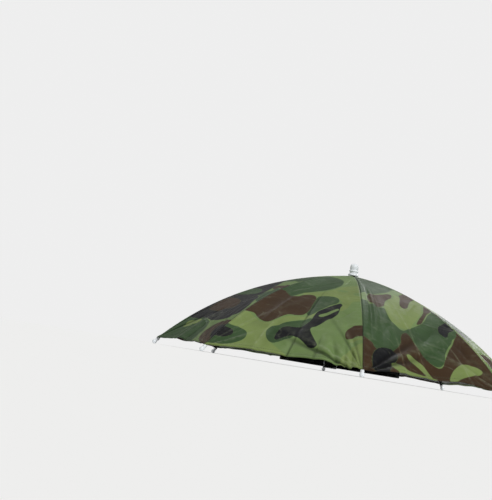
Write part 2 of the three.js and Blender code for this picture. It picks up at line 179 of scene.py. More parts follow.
def printed_polyester():
    """Taffeta-woven polyester with a five-tone woodland print: crisp patches, a satin shine, seams that
    sink, darkened by their thread and by painted shade, and creases from storage and pleats, with painted
    shade in their valleys and tops made paler by rubbing and painted highlight."""
    material, tree = new_material("printed_polyester")
    uv = add(tree, "ShaderNodeUVMap", uv_map="cloth")
    wander = add(tree, "ShaderNodeTexNoise", {"Vector": uv, "Scale": 1 / (2 * MM), "Detail": 3.0})
    wander = add(tree, "ShaderNodeMapRange", {"Value": wander, "To Min": -0.7, "To Max": 0.7})
    colour = linear(BASE_GREEN)
    for tone, code in TONES.items():
        depth = add(tree, "ShaderNodeAttribute", attribute_name=tone).outputs["Fac"]
        depth = add(tree, "ShaderNodeMath", {0: depth, 1: wander}, operation="ADD")
        inside = add(tree, "ShaderNodeMapRange", {"Value": depth, "From Min": -0.5, "From Max": 0.5})
        layers = {0: inside, 6: colour, 7: linear(code)}
        colour = add(tree, "ShaderNodeMix", layers, data_type="RGBA").outputs[2]

    fine, coarse = crumple(tree, uv, 28 * MM), crumple(tree, uv, 65 * MM)
    crease = add(tree, "ShaderNodeAttribute", attribute_name="crease").outputs["Fac"]
    lines = add(tree, "ShaderNodeMath", {0: fine, 1: coarse}, operation="MAXIMUM")
    # ridges of pressed folds and pleats join the pale lines: partly rubbed wear, partly painted highlight
    ridge = add(tree, "ShaderNodeMath", {0: crease, 1: 2.5}, operation="MULTIPLY")
    lines = add(tree, "ShaderNodeMath", {0: lines, 1: ridge}, operation="MAXIMUM")
    rub_and_highlight_amount = add(tree, "ShaderNodeTexNoise", {"Vector": uv, "Scale": 1 / (8 * MM)})
    limits = {"Value": rub_and_highlight_amount, "From Min": 0.3, "From Max": 0.65, "To Max": 0.14}
    rub_and_highlight_amount = add(tree, "ShaderNodeMapRange", limits)
    rub_and_painted_highlight = add(tree, "ShaderNodeMath", {0: lines, 1: rub_and_highlight_amount}, operation="MULTIPLY")
    # paler colour: rubbed wear on the crumple lines, painted highlight on the ridges
    layers = {0: rub_and_painted_highlight, 6: colour, 7: linear("#98A083")}
    colour = add(tree, "ShaderNodeMix", layers, data_type="RGBA").outputs[2]

    dye_and_painted_shade = 1.0
    for size, spread in ((45 * MM, 0.12), (1.1 * MM, 0.08)):  # uneven dye, then single threads
        dye = add(tree, "ShaderNodeTexNoise", {"Vector": uv, "Scale": 1 / size, "Detail": 4.0})
        change = {"To Min": 1 - spread, "To Max": 1 + spread}
        limits = {"Value": dye, "From Min": 0.3, "From Max": 0.7, **change}
        dye = add(tree, "ShaderNodeMapRange", limits)
        dye_and_painted_shade = add(tree, "ShaderNodeMath", {0: dye_and_painted_shade, 1: dye}, operation="MULTIPLY")
    # painted shade: the seam line darkens to 0.45, partly for its dark thread, and crease and pleat
    # valleys darken to 0.36
    for layer, full, dark in (("seam", 1.0, 0.45), ("crease", -1.0, 0.36)):
        depth = add(tree, "ShaderNodeAttribute", attribute_name=layer).outputs["Fac"]
        limits = {"Value": depth, "From Max": full, "To Min": 1.0, "To Max": dark}
        depth = add(tree, "ShaderNodeMapRange", limits)
        dye_and_painted_shade = add(tree, "ShaderNodeMath", {0: dye_and_painted_shade, 1: depth}, operation="MULTIPLY")
    colour = add(tree, "ShaderNodeVectorMath", {0: colour, "Scale": dye_and_painted_shade}, operation="SCALE")

    # threads of 0.25 mm are drawn at 0.7 mm so that the weave shows in a close view
    threads = weave(tree, uv, 0.7 * MM)
    billow = add(tree, "ShaderNodeTexNoise", {"Vector": uv, "Scale": 1 / (22 * MM), "Detail": 3.0})
    height = 0.0
    for part, share in ((threads, 0.012), (billow, 0.9), (coarse, 0.4), (fine, -0.12)):
        height = add(tree, "ShaderNodeMath", {0: part, 1: share, 2: height}, operation="MULTIPLY_ADD")
    bump = add(tree, "ShaderNodeBump", {"Strength": 0.6, "Distance": MM, "Height": height})
    limits = {"Value": billow, "From Min": 0.3, "From Max": 0.7, "To Min": 0.37, "To Max": 0.47}
    gloss = add(tree, "ShaderNodeMapRange", limits)
    finish = {"IOR": 1.5, "Specular IOR Level": 0.14}
    surface = {"Base Color": colour, "Roughness": gloss, "Normal": bump}
    shader = add(tree, "ShaderNodeBsdfPrincipled", {**finish, **surface})
    add(tree, "ShaderNodeOutputMaterial", {"Surface": shader})
    return material


def silver_coating():
    """Aluminium-pigment polyurethane on the cloth's inside: dull silver with a soft broad shine."""
    material, tree = new_material("silver_coating")
    uv = add(tree, "ShaderNodeUVMap", uv_map="cloth")
    cloud = add(tree, "ShaderNodeTexNoise", {"Vector": uv, "Scale": 1 / (33 * MM), "Detail": 5.0})
    cloud = add(tree, "ShaderNodeMapRange", {"Value": cloud, "From Min": 0.3, "From Max": 0.7})
    layers = {0: cloud, 6: linear("#C2C4C1"), 7: linear("#D0D2CE")}
    colour = add(tree, "ShaderNodeMix", layers, data_type="RGBA").outputs[2]
    # painted shade: the silver turns darker along the creases, pleats and seams
    crease = add(tree, "ShaderNodeAttribute", attribute_name="crease").outputs["Fac"]
    crease = add(tree, "ShaderNodeMath", {0: crease}, operation="ABSOLUTE")
    seam = add(tree, "ShaderNodeAttribute", attribute_name="seam").outputs["Fac"]
    lines = add(tree, "ShaderNodeMath", {0: crease, 1: seam}, operation="MAXIMUM")
    lines = add(tree, "ShaderNodeMath", {0: lines, 1: 0.35}, operation="MULTIPLY")
    layers = {0: lines, 6: colour, 7: linear("#7E807D")}
    colour = add(tree, "ShaderNodeMix", layers, data_type="RGBA").outputs[2]
    orange_peel = add(tree, "ShaderNodeTexNoise", {"Vector": uv, "Scale": 1 / (11 * MM), "Detail": 5.0})
    height = {0: weave(tree, uv, 0.7 * MM), 1: orange_peel}
    height = add(tree, "ShaderNodeMath", height, operation="ADD")
    bump = add(tree, "ShaderNodeBump", {"Strength": 0.3, "Distance": 0.2 * MM, "Height": height})
    limits = {"Value": orange_peel, "From Min": 0.3, "From Max": 0.7, "To Min": 0.40, "To Max": 0.50}
    gloss = add(tree, "ShaderNodeMapRange", limits)
    finish = {"Metallic": 0.25, "IOR": 1.5, "Base Color": colour, "Roughness": gloss, "Normal": bump}
    shader = add(tree, "ShaderNodeBsdfPrincipled", finish)
    add(tree, "ShaderNodeOutputMaterial", {"Surface": shader})
    return material


def moulded_plastic(name, code, finish):
    """Injection-moulded plastic: smooth, with a faint flow mottling and a soft gloss."""
    material, tree = new_material(name)
    place = add(tree, "ShaderNodeTexCoord").outputs["Object"]
    flow = add(tree, "ShaderNodeTexNoise", {"Vector": place, "Scale": 1 / (3.8 * MM), "Detail": 3.0})
    limits = {"Value": flow, "From Min": 0.3, "From Max": 0.7, "To Max": 0.12}
    mottling = add(tree, "ShaderNodeMapRange", limits)
    layers = {0: mottling, 6: linear(code), 7: linear("#8E9499")}
    colour = add(tree, "ShaderNodeMix", layers, data_type="RGBA").outputs[2]
    grain = add(tree, "ShaderNodeTexNoise", {"Vector": place, "Scale": 1 / (0.4 * MM)})
    bump = add(tree, "ShaderNodeBump", {"Strength": 0.12, "Distance": 0.1 * MM, "Height": grain})
    shader = add(tree, "ShaderNodeBsdfPrincipled", {**finish, "Base Color": colour, "Normal": bump})
    add(tree, "ShaderNodeOutputMaterial", {"Surface": shader})
    return material


def black_enamel():
    """Stoved black enamel on cold-rolled steel: glossy, with a few grey scuffs."""
    material, tree = new_material("black_enamel")
    place = add(tree, "ShaderNodeTexCoord").outputs["Object"]
    scuff = {"Vector": place, "Scale": 1 / (2.4 * MM), "Detail": 6.0, "Roughness": 0.7}
    scuff = add(tree, "ShaderNodeTexNoise", scuff)
    limits = {"Value": scuff, "From Min": 0.62, "From Max": 0.74, "To Max": 0.5}
    scuff = add(tree, "ShaderNodeMapRange", limits)
    layers = {0: scuff, 6: linear("#141416"), 7: linear("#4A4B4E")}
    colour = add(tree, "ShaderNodeMix", layers, data_type="RGBA").outputs[2]
    drips = add(tree, "ShaderNodeTexNoise", {"Vector": place, "Scale": 1 / (1.1 * MM), "Detail": 3.0})
    bump = add(tree, "ShaderNodeBump", {"Strength": 0.15, "Distance": 0.1 * MM, "Height": drips})
    gloss = add(tree, "ShaderNodeMapRange", {"Value": scuff, "To Min": 0.30, "To Max": 0.60})
    finish = {"IOR": 1.5, "Coat Weight": 0.25, "Coat Roughness": 0.15}
    surface = {"Base Color": colour, "Roughness": gloss, "Normal": bump}
    shader = add(tree, "ShaderNodeBsdfPrincipled", {**finish, **surface})
    add(tree, "ShaderNodeOutputMaterial", {"Surface": shader})
    return material


def woven_elastic():
    """Woven elastic: dull black polyester over rubber cords, with a cross rib from the weft."""
    material, tree = new_material("woven_elastic")
    uv = add(tree, "ShaderNodeUVMap", uv_map="cloth")
    picks = weave(tree, uv, 0.9 * MM)
    # painted shade between the weft picks: the colour is darker in the weave's hollows
    depth = add(tree, "ShaderNodeMapRange", {"Value": picks, "From Min": -0.6, "From Max": 0.8})
    layers = {0: depth, 6: linear("#0C0C0E"), 7: linear("#222226")}
    colour = add(tree, "ShaderNodeMix", layers, data_type="RGBA").outputs[2]
    lint = add(tree, "ShaderNodeTexNoise", {"Vector": uv, "Scale": 1 / (2 * MM), "Detail": 4.0})
    limits = {"Value": lint, "From Min": 0.66, "From Max": 0.78, "To Max": 0.25}
    lint = add(tree, "ShaderNodeMapRange", limits)
    layers = {0: lint, 6: colour, 7: linear("#3C3C40")}
    colour = add(tree, "ShaderNodeMix", layers, data_type="RGBA").outputs[2]
    bump = add(tree, "ShaderNodeBump", {"Strength": 0.6, "Distance": 0.3 * MM, "Height": picks})
    finish = {"Roughness": 0.9, "IOR": 1.45, "Sheen Weight": 0.35, "Sheen Roughness": 0.4}
    shader = add(tree, "ShaderNodeBsdfPrincipled", {**finish, "Base Color": colour, "Normal": bump})
    add(tree, "ShaderNodeOutputMaterial", {"Surface": shader})
    return material


def sewing_thread():
    """Spun polyester thread: matt, with a slight twist."""
    material, tree = new_material("sewing_thread")
    place = add(tree, "ShaderNodeTexCoord").outputs["Object"]
    twist = add(tree, "ShaderNodeTexNoise", {"Vector": place, "Scale": 1 / (0.7 * MM)})
    layers = {0: twist, 6: linear("#27301F"), 7: linear("#4B5A3A")}
    colour = add(tree, "ShaderNodeMix", layers, data_type="RGBA").outputs[2]
    finish = {"Roughness": 0.8, "Sheen Weight": 0.3, "Base Color": colour}
    shader = add(tree, "ShaderNodeBsdfPrincipled", finish)
    add(tree, "ShaderNodeOutputMaterial", {"Surface": shader})
    return material


def matt_paper():
    """Backdrop paper on the floor: matt and even."""
    material, tree = new_material("matt_paper")
    place = add(tree, "ShaderNodeTexCoord").outputs["Object"]
    mottling = add(tree, "ShaderNodeTexNoise", {"Vector": place, "Scale": 8.0})
    layers = {0: mottling, 6: linear("#FCFCFB"), 7: linear("#FEFEFD")}
    colour = add(tree, "ShaderNodeMix", layers, data_type="RGBA").outputs[2]
    finish = {"Roughness": 0.9, "Specular IOR Level": 0.0, "Base Color": colour}
    shader = add(tree, "ShaderNodeBsdfPrincipled", finish)
    add(tree, "ShaderNodeOutputMaterial", {"Surface": shader})
    return material


cloth_print = printed_polyester()
cloth_silver = silver_coating()
clear_glow = {"Subsurface Weight": 0.5, "Subsurface Radius": (1.0, 1.0, 1.0), "Subsurface Scale": MM}
white_plastic = moulded_plastic(
    "white_polypropylene", "#EDF1F4", {"Roughness": 0.3, "IOR": 1.49, **clear_glow}
)
black_plastic = moulded_plastic("black_nylon", "#161618", {"Roughness": 0.42, "IOR": 1.53})
enamel = black_enamel()
elastic = woven_elastic()
thread = sewing_thread()


def piece(name, points, faces, materials, node=None, face_slots=None, walls=0):
    """A mesh piece on the hat's one body; it may stand for a frame node. Its last faces may be the
    flat walls of a sheet; the rest are smooth."""
    mesh = bpy.data.meshes.new(name)
    mesh.from_pydata([tuple(p) for p in points], [], [tuple(f) for f in faces])
    for material in materials:
        mesh.materials.append(material)
    if face_slots is not None:
        mesh.polygons.foreach_set("material_index", np.asarray(face_slots, np.int32))
    count = len(mesh.polygons)
    mesh.polygons.foreach_set("use_smooth", np.arange(count) < count - walls)
    mesh.update()
    made = bpy.data.objects.new(name, mesh)
    bpy.context.scene.collection.objects.link(made)
    declare(made, node)
    return made


def declare(made, node=None):
    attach(made, "root")
    if node:
        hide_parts(node)


def rib_angle(index):
    return FIRST_RIB + index * RIB_TURN


def rib_line(share):
    """Radius and height of a rib's centre line, and its outward normal, at shares from the hub."""
    share = np.asarray(share, float)
    bow = 4 * RIB_BOW * share * (1 - share)
    slope = 4 * RIB_BOW * (1 - 2 * share)
    radius = TIP_REACH * share + bow * RIB_RISE / RIB_CHORD
    height = FOOT_DROP + RIB_RISE * (1 - share) + bow * TIP_REACH / RIB_CHORD
    run = TIP_REACH + slope * RIB_RISE / RIB_CHORD
    fall = RIB_RISE - slope * TIP_REACH / RIB_CHORD
    size = np.hypot(run, fall)
    return radius, height, fall / size, run / size, size


def rib_point(angle, share, lift):
    radius, height, out, up, _ = rib_line(share)
    reach = radius + out * lift
    return np.stack(
        [reach * np.cos(angle), reach * np.sin(angle), height + up * lift], axis=-1
    )


def share_at_radius(radius):
    shares = np.linspace(0, 1, 2001)
    return float(np.interp(radius, rib_line(shares)[0], shares))


def smooth(low, high, value):
    t = np.clip((value - low) / (high - low), 0, 1)
    return t * t * (3 - 2 * t)


RIB_LENGTH = float(np.mean(rib_line(np.linspace(0, 1, 401))[4]))


def gore_width(share):
    return 2 * rib_line(share)[0] * math.sin(RIB_TURN / 2)


# How far a gore hangs in at shares of the rib, as shares of GORE_SAG
SAG_ALONG = (0.0, 0.15, 0.4, 0.7, 1.0)
SAG_SHARE = (0.0, 0.12, 0.6, 1.0, 0.55)

Fold = namedtuple("Fold", "gores across_start across_end start end width depth pressed")

# Folds left from storage. The places are shares across the gore and along the rib; the width
# and the depth are millimetres, with valleys negative; a pressed fold has a sharp bottom.
FOLDS = (
    Fold((0, 2, 3, 5, 6), 0.505, 0.530, 0.36, 1.20, 5.0, -2.2, True),
    Fold((1, 4, 7), 0.465, 0.440, 0.34, 1.20, 5.0, 1.7, True),
    Fold(range(8), 0.305, 0.290, 0.64, 1.20, 2.6, 1.1, True),
    Fold(range(8), 0.340, 0.325, 0.60, 1.20, 8.0, -0.9, False),
    Fold((0, 1, 2, 3, 4, 5), 0.70, 0.78, 0.45, 1.20, 14.0, 1.2, False),
    Fold((0, 2, 3, 5), 0.43, 0.42, 0.55, 1.20, 4.0, 1.0, True),
    Fold((6,), 0.700, 0.690, 0.78, 1.20, 3.0, -1.2, True),
    Fold((6,), 0.770, 0.880, 0.80, 1.08, 4.5, -2.8, False),
    Fold((6,), 0.720, 0.800, 0.78, 1.10, 7.0, 1.3, False),
    Fold((6,), 0.260, 0.215, 0.48, 0.80, 4.0, 1.1, False),
    Fold((6,), 0.965, 0.960, 0.78, 1.20, 2.6, 1.4, False),
    Fold((6,), 0.930, 0.925, 0.80, 1.20, 2.4, -2.0, False),
    Fold((6,), 0.880, 0.895, 0.82, 1.20, 2.4, -1.8, False),
    Fold((7,), 0.100, 0.030, 0.20, 0.82, 4.0, 1.6, False),
    Fold((7,), 0.155, 0.065, 0.22, 0.86, 3.5, -1.5, False),
    Fold((7,), 0.205, 0.105, 0.24, 0.86, 3.5, 1.3, False),
    Fold((7,), 0.265, 0.150, 0.30, 0.90, 4.0, -1.3, False),
    Fold((7,), 0.320, 0.200, 0.42, 0.92, 4.0, 1.0, False),
    Fold((7,), 0.770, 0.765, 0.68, 1.20, 3.0, 0.9, True),
    Fold((7,), 0.860, 0.880, 0.60, 1.20, 5.0, -0.9, False),
    Fold((0,), 0.080, 0.060, 0.40, 1.15, 4.0, -1.8, False),
    Fold((0,), 0.170, 0.130, 0.38, 1.15, 4.0, 1.6, False),
    Fold((0,), 0.260, 0.210, 0.40, 1.15, 4.0, -1.6, True),
    Fold((3, 4), 0.14, 0.06, 0.30, 0.95, 6.0, 1.2, False),
    Fold((2, 5), 0.86, 0.93, 0.30, 0.95, 6.0, 1.2, False),
)
FOLD_FADE = 0.3  # share of a fold's length over which it fades at each end
PRESSED_LINE = 0.0013  # half width of the line that a pressed fold leaves: painted shade in a valley, a paler line of rubbed wear and painted highlight on a ridge

# How strongly the cloth is pulled into pleats at each tip, beside 1 for most
PULLS = {7: 2.0}
PLEATS = 7  # on each side of a tip
PLEAT_HEIGHT = 0.0011
PLEAT_PEAK = (0.022, 0.050)  # tip to the highest place of a pleat
PLEAT_HEADING = (0.12, 1.25)  # turn away from the rib
PLEAT_SPREAD = (0.035, 0.085)
PLEAT_SHADE = 0.75  # share of full painted shade at the bottom of the deepest common pleat; its ridge is painted paler in the same way

PUCKER_HEIGHT = 0.0004
PUCKER_PITCH = (0.008, 0.011)
PUCKER_REACH = 0.006
PUCKER_DRIFT = 1.2  # how far the puckers stray from an even pitch
PUCKER_STRAYS = (20, 30)

WAVES = 6
WAVE_HEIGHT = 0.0005
WAVE_LENGTH = (0.05, 0.11)
WAVE_TURN = 0.6

WRINKLES = 22
WRINKLE_ALONG = (0.25, 1.0)  # shares of the rib where they lie
WRINKLE_ACROSS = 0.42
WRINKLE_TURN = 0.5
WRINKLE_HEIGHT = 0.0011
WRINKLE_REACH = (0.015, 0.045)
WRINKLE_WIDTH = (0.0018, 0.005)

FLUTTER_HEIGHT = 0.0008
FLUTTER_REACH = 0.035
FLUTTER_WAVES = (1.6, 2.4)
CALM_BY_SEAM = 0.010  # the cloth lies plain within this distance of a seam


def fold_height(gore, across, share, width):
    """Height of the storage folds, and their pressed lines: 1 on a ridge, -1 in a valley."""
    height = np.zeros_like(across)
    crease = np.zeros_like(across)
    for fold in FOLDS:
        if gore not in fold.gores:
            continue
        t = np.clip((share - fold.start) / (fold.end - fold.start), 0, 1)
        place = fold.across_start + (fold.across_end - fold.across_start) * t
        away = np.abs(across - place) * width
        window = smooth(0, FOLD_FADE, t) * (1 - smooth(1 - FOLD_FADE, 1, t))
        reach = away / (fold.width * MM)
        shape = np.exp(-reach) if fold.pressed else np.exp(-(reach**2))
        height += fold.depth * MM * shape * window
        if fold.pressed:
            crease += math.copysign(1, fold.depth) * np.exp(-((away / PRESSED_LINE) ** 2)) * window
    return height, crease


def pleat_height(gore, across, share, width, rng):
    """Pleats that fan out of the two tips, where the cloth is pulled tight."""
    up = (1 - share) * RIB_LENGTH
    height = np.zeros_like(across)
    for beside, tip in ((across * width, gore), ((1 - across) * width, (gore + 1) % RIBS)):
        reach = np.hypot(beside, up)
        turn = np.arctan2(beside, up)
        for _ in range(PLEATS):
            peak = rng.uniform(*PLEAT_PEAK)
            heading = rng.uniform(*PLEAT_HEADING)
            spread = rng.uniform(*PLEAT_SPREAD)
            size = PULLS.get(tip, 1.0) * rng.uniform(-PLEAT_HEIGHT, PLEAT_HEIGHT)
            grow = (reach / peak) * np.exp(1 - reach / peak)
            height += size * grow * np.exp(-(((turn - heading) / spread) ** 2))
    return height


def pucker_height(across, share, width, rng):
    """Short puckers along the two seams, drawn up by their thread."""
    height = np.zeros_like(across)
    for beside in (across * width, (1 - across) * width):
        pitch = rng.uniform(*PUCKER_PITCH)
        drift = PUCKER_DRIFT * np.sin(share * rng.uniform(*PUCKER_STRAYS))
        ripple = np.sin(2 * math.pi * share * RIB_LENGTH / pitch + drift)
        near = np.exp(-beside / PUCKER_REACH) * (1 - np.exp(-beside / SEAM_GROOVE_WIDTH))
        height += PUCKER_HEIGHT * ripple * near
    return height


def wave_height(across, share, width, rng):
    """Soft waves in the open middle of the gore."""
    x = (across - 0.5) * width
    y = share * RIB_LENGTH
    height = np.zeros_like(across)
    for _ in range(WAVES):
        length = rng.uniform(*WAVE_LENGTH)
        heading = rng.uniform(-WAVE_TURN, WAVE_TURN)
        phase = rng.uniform(0, 2 * math.pi)
        run = x * math.cos(heading) + y * math.sin(heading)
        height += np.sin(2 * math.pi * run / length + phase)
    return WAVE_HEIGHT * height * 4 * across * (1 - across) * smooth(0.1, 0.4, share)


def wrinkle_height(across, share, width, rng):
    """Short straight wrinkles from handling, mostly down the gore."""
    x = (across - 0.5) * width
    y = share * RIB_LENGTH
    height = np.zeros_like(across)
    for _ in range(WRINKLES):
        at = rng.uniform(*WRINKLE_ALONG)
        centre_x = rng.uniform(-WRINKLE_ACROSS, WRINKLE_ACROSS) * gore_width(at)
        centre_y = at * RIB_LENGTH
        heading = rng.normal(0, WRINKLE_TURN)
        reach = rng.uniform(*WRINKLE_REACH)
        size = rng.uniform(-WRINKLE_HEIGHT, WRINKLE_HEIGHT)
        wide = rng.uniform(*WRINKLE_WIDTH)
        along = (x - centre_x) * math.sin(heading) + (y - centre_y) * math.cos(heading)
        beside = (x - centre_x) * math.cos(heading) - (y - centre_y) * math.sin(heading)
        height += size * np.exp(-((along / reach) ** 2)) * np.exp(-np.abs(beside) / wide)
    return height


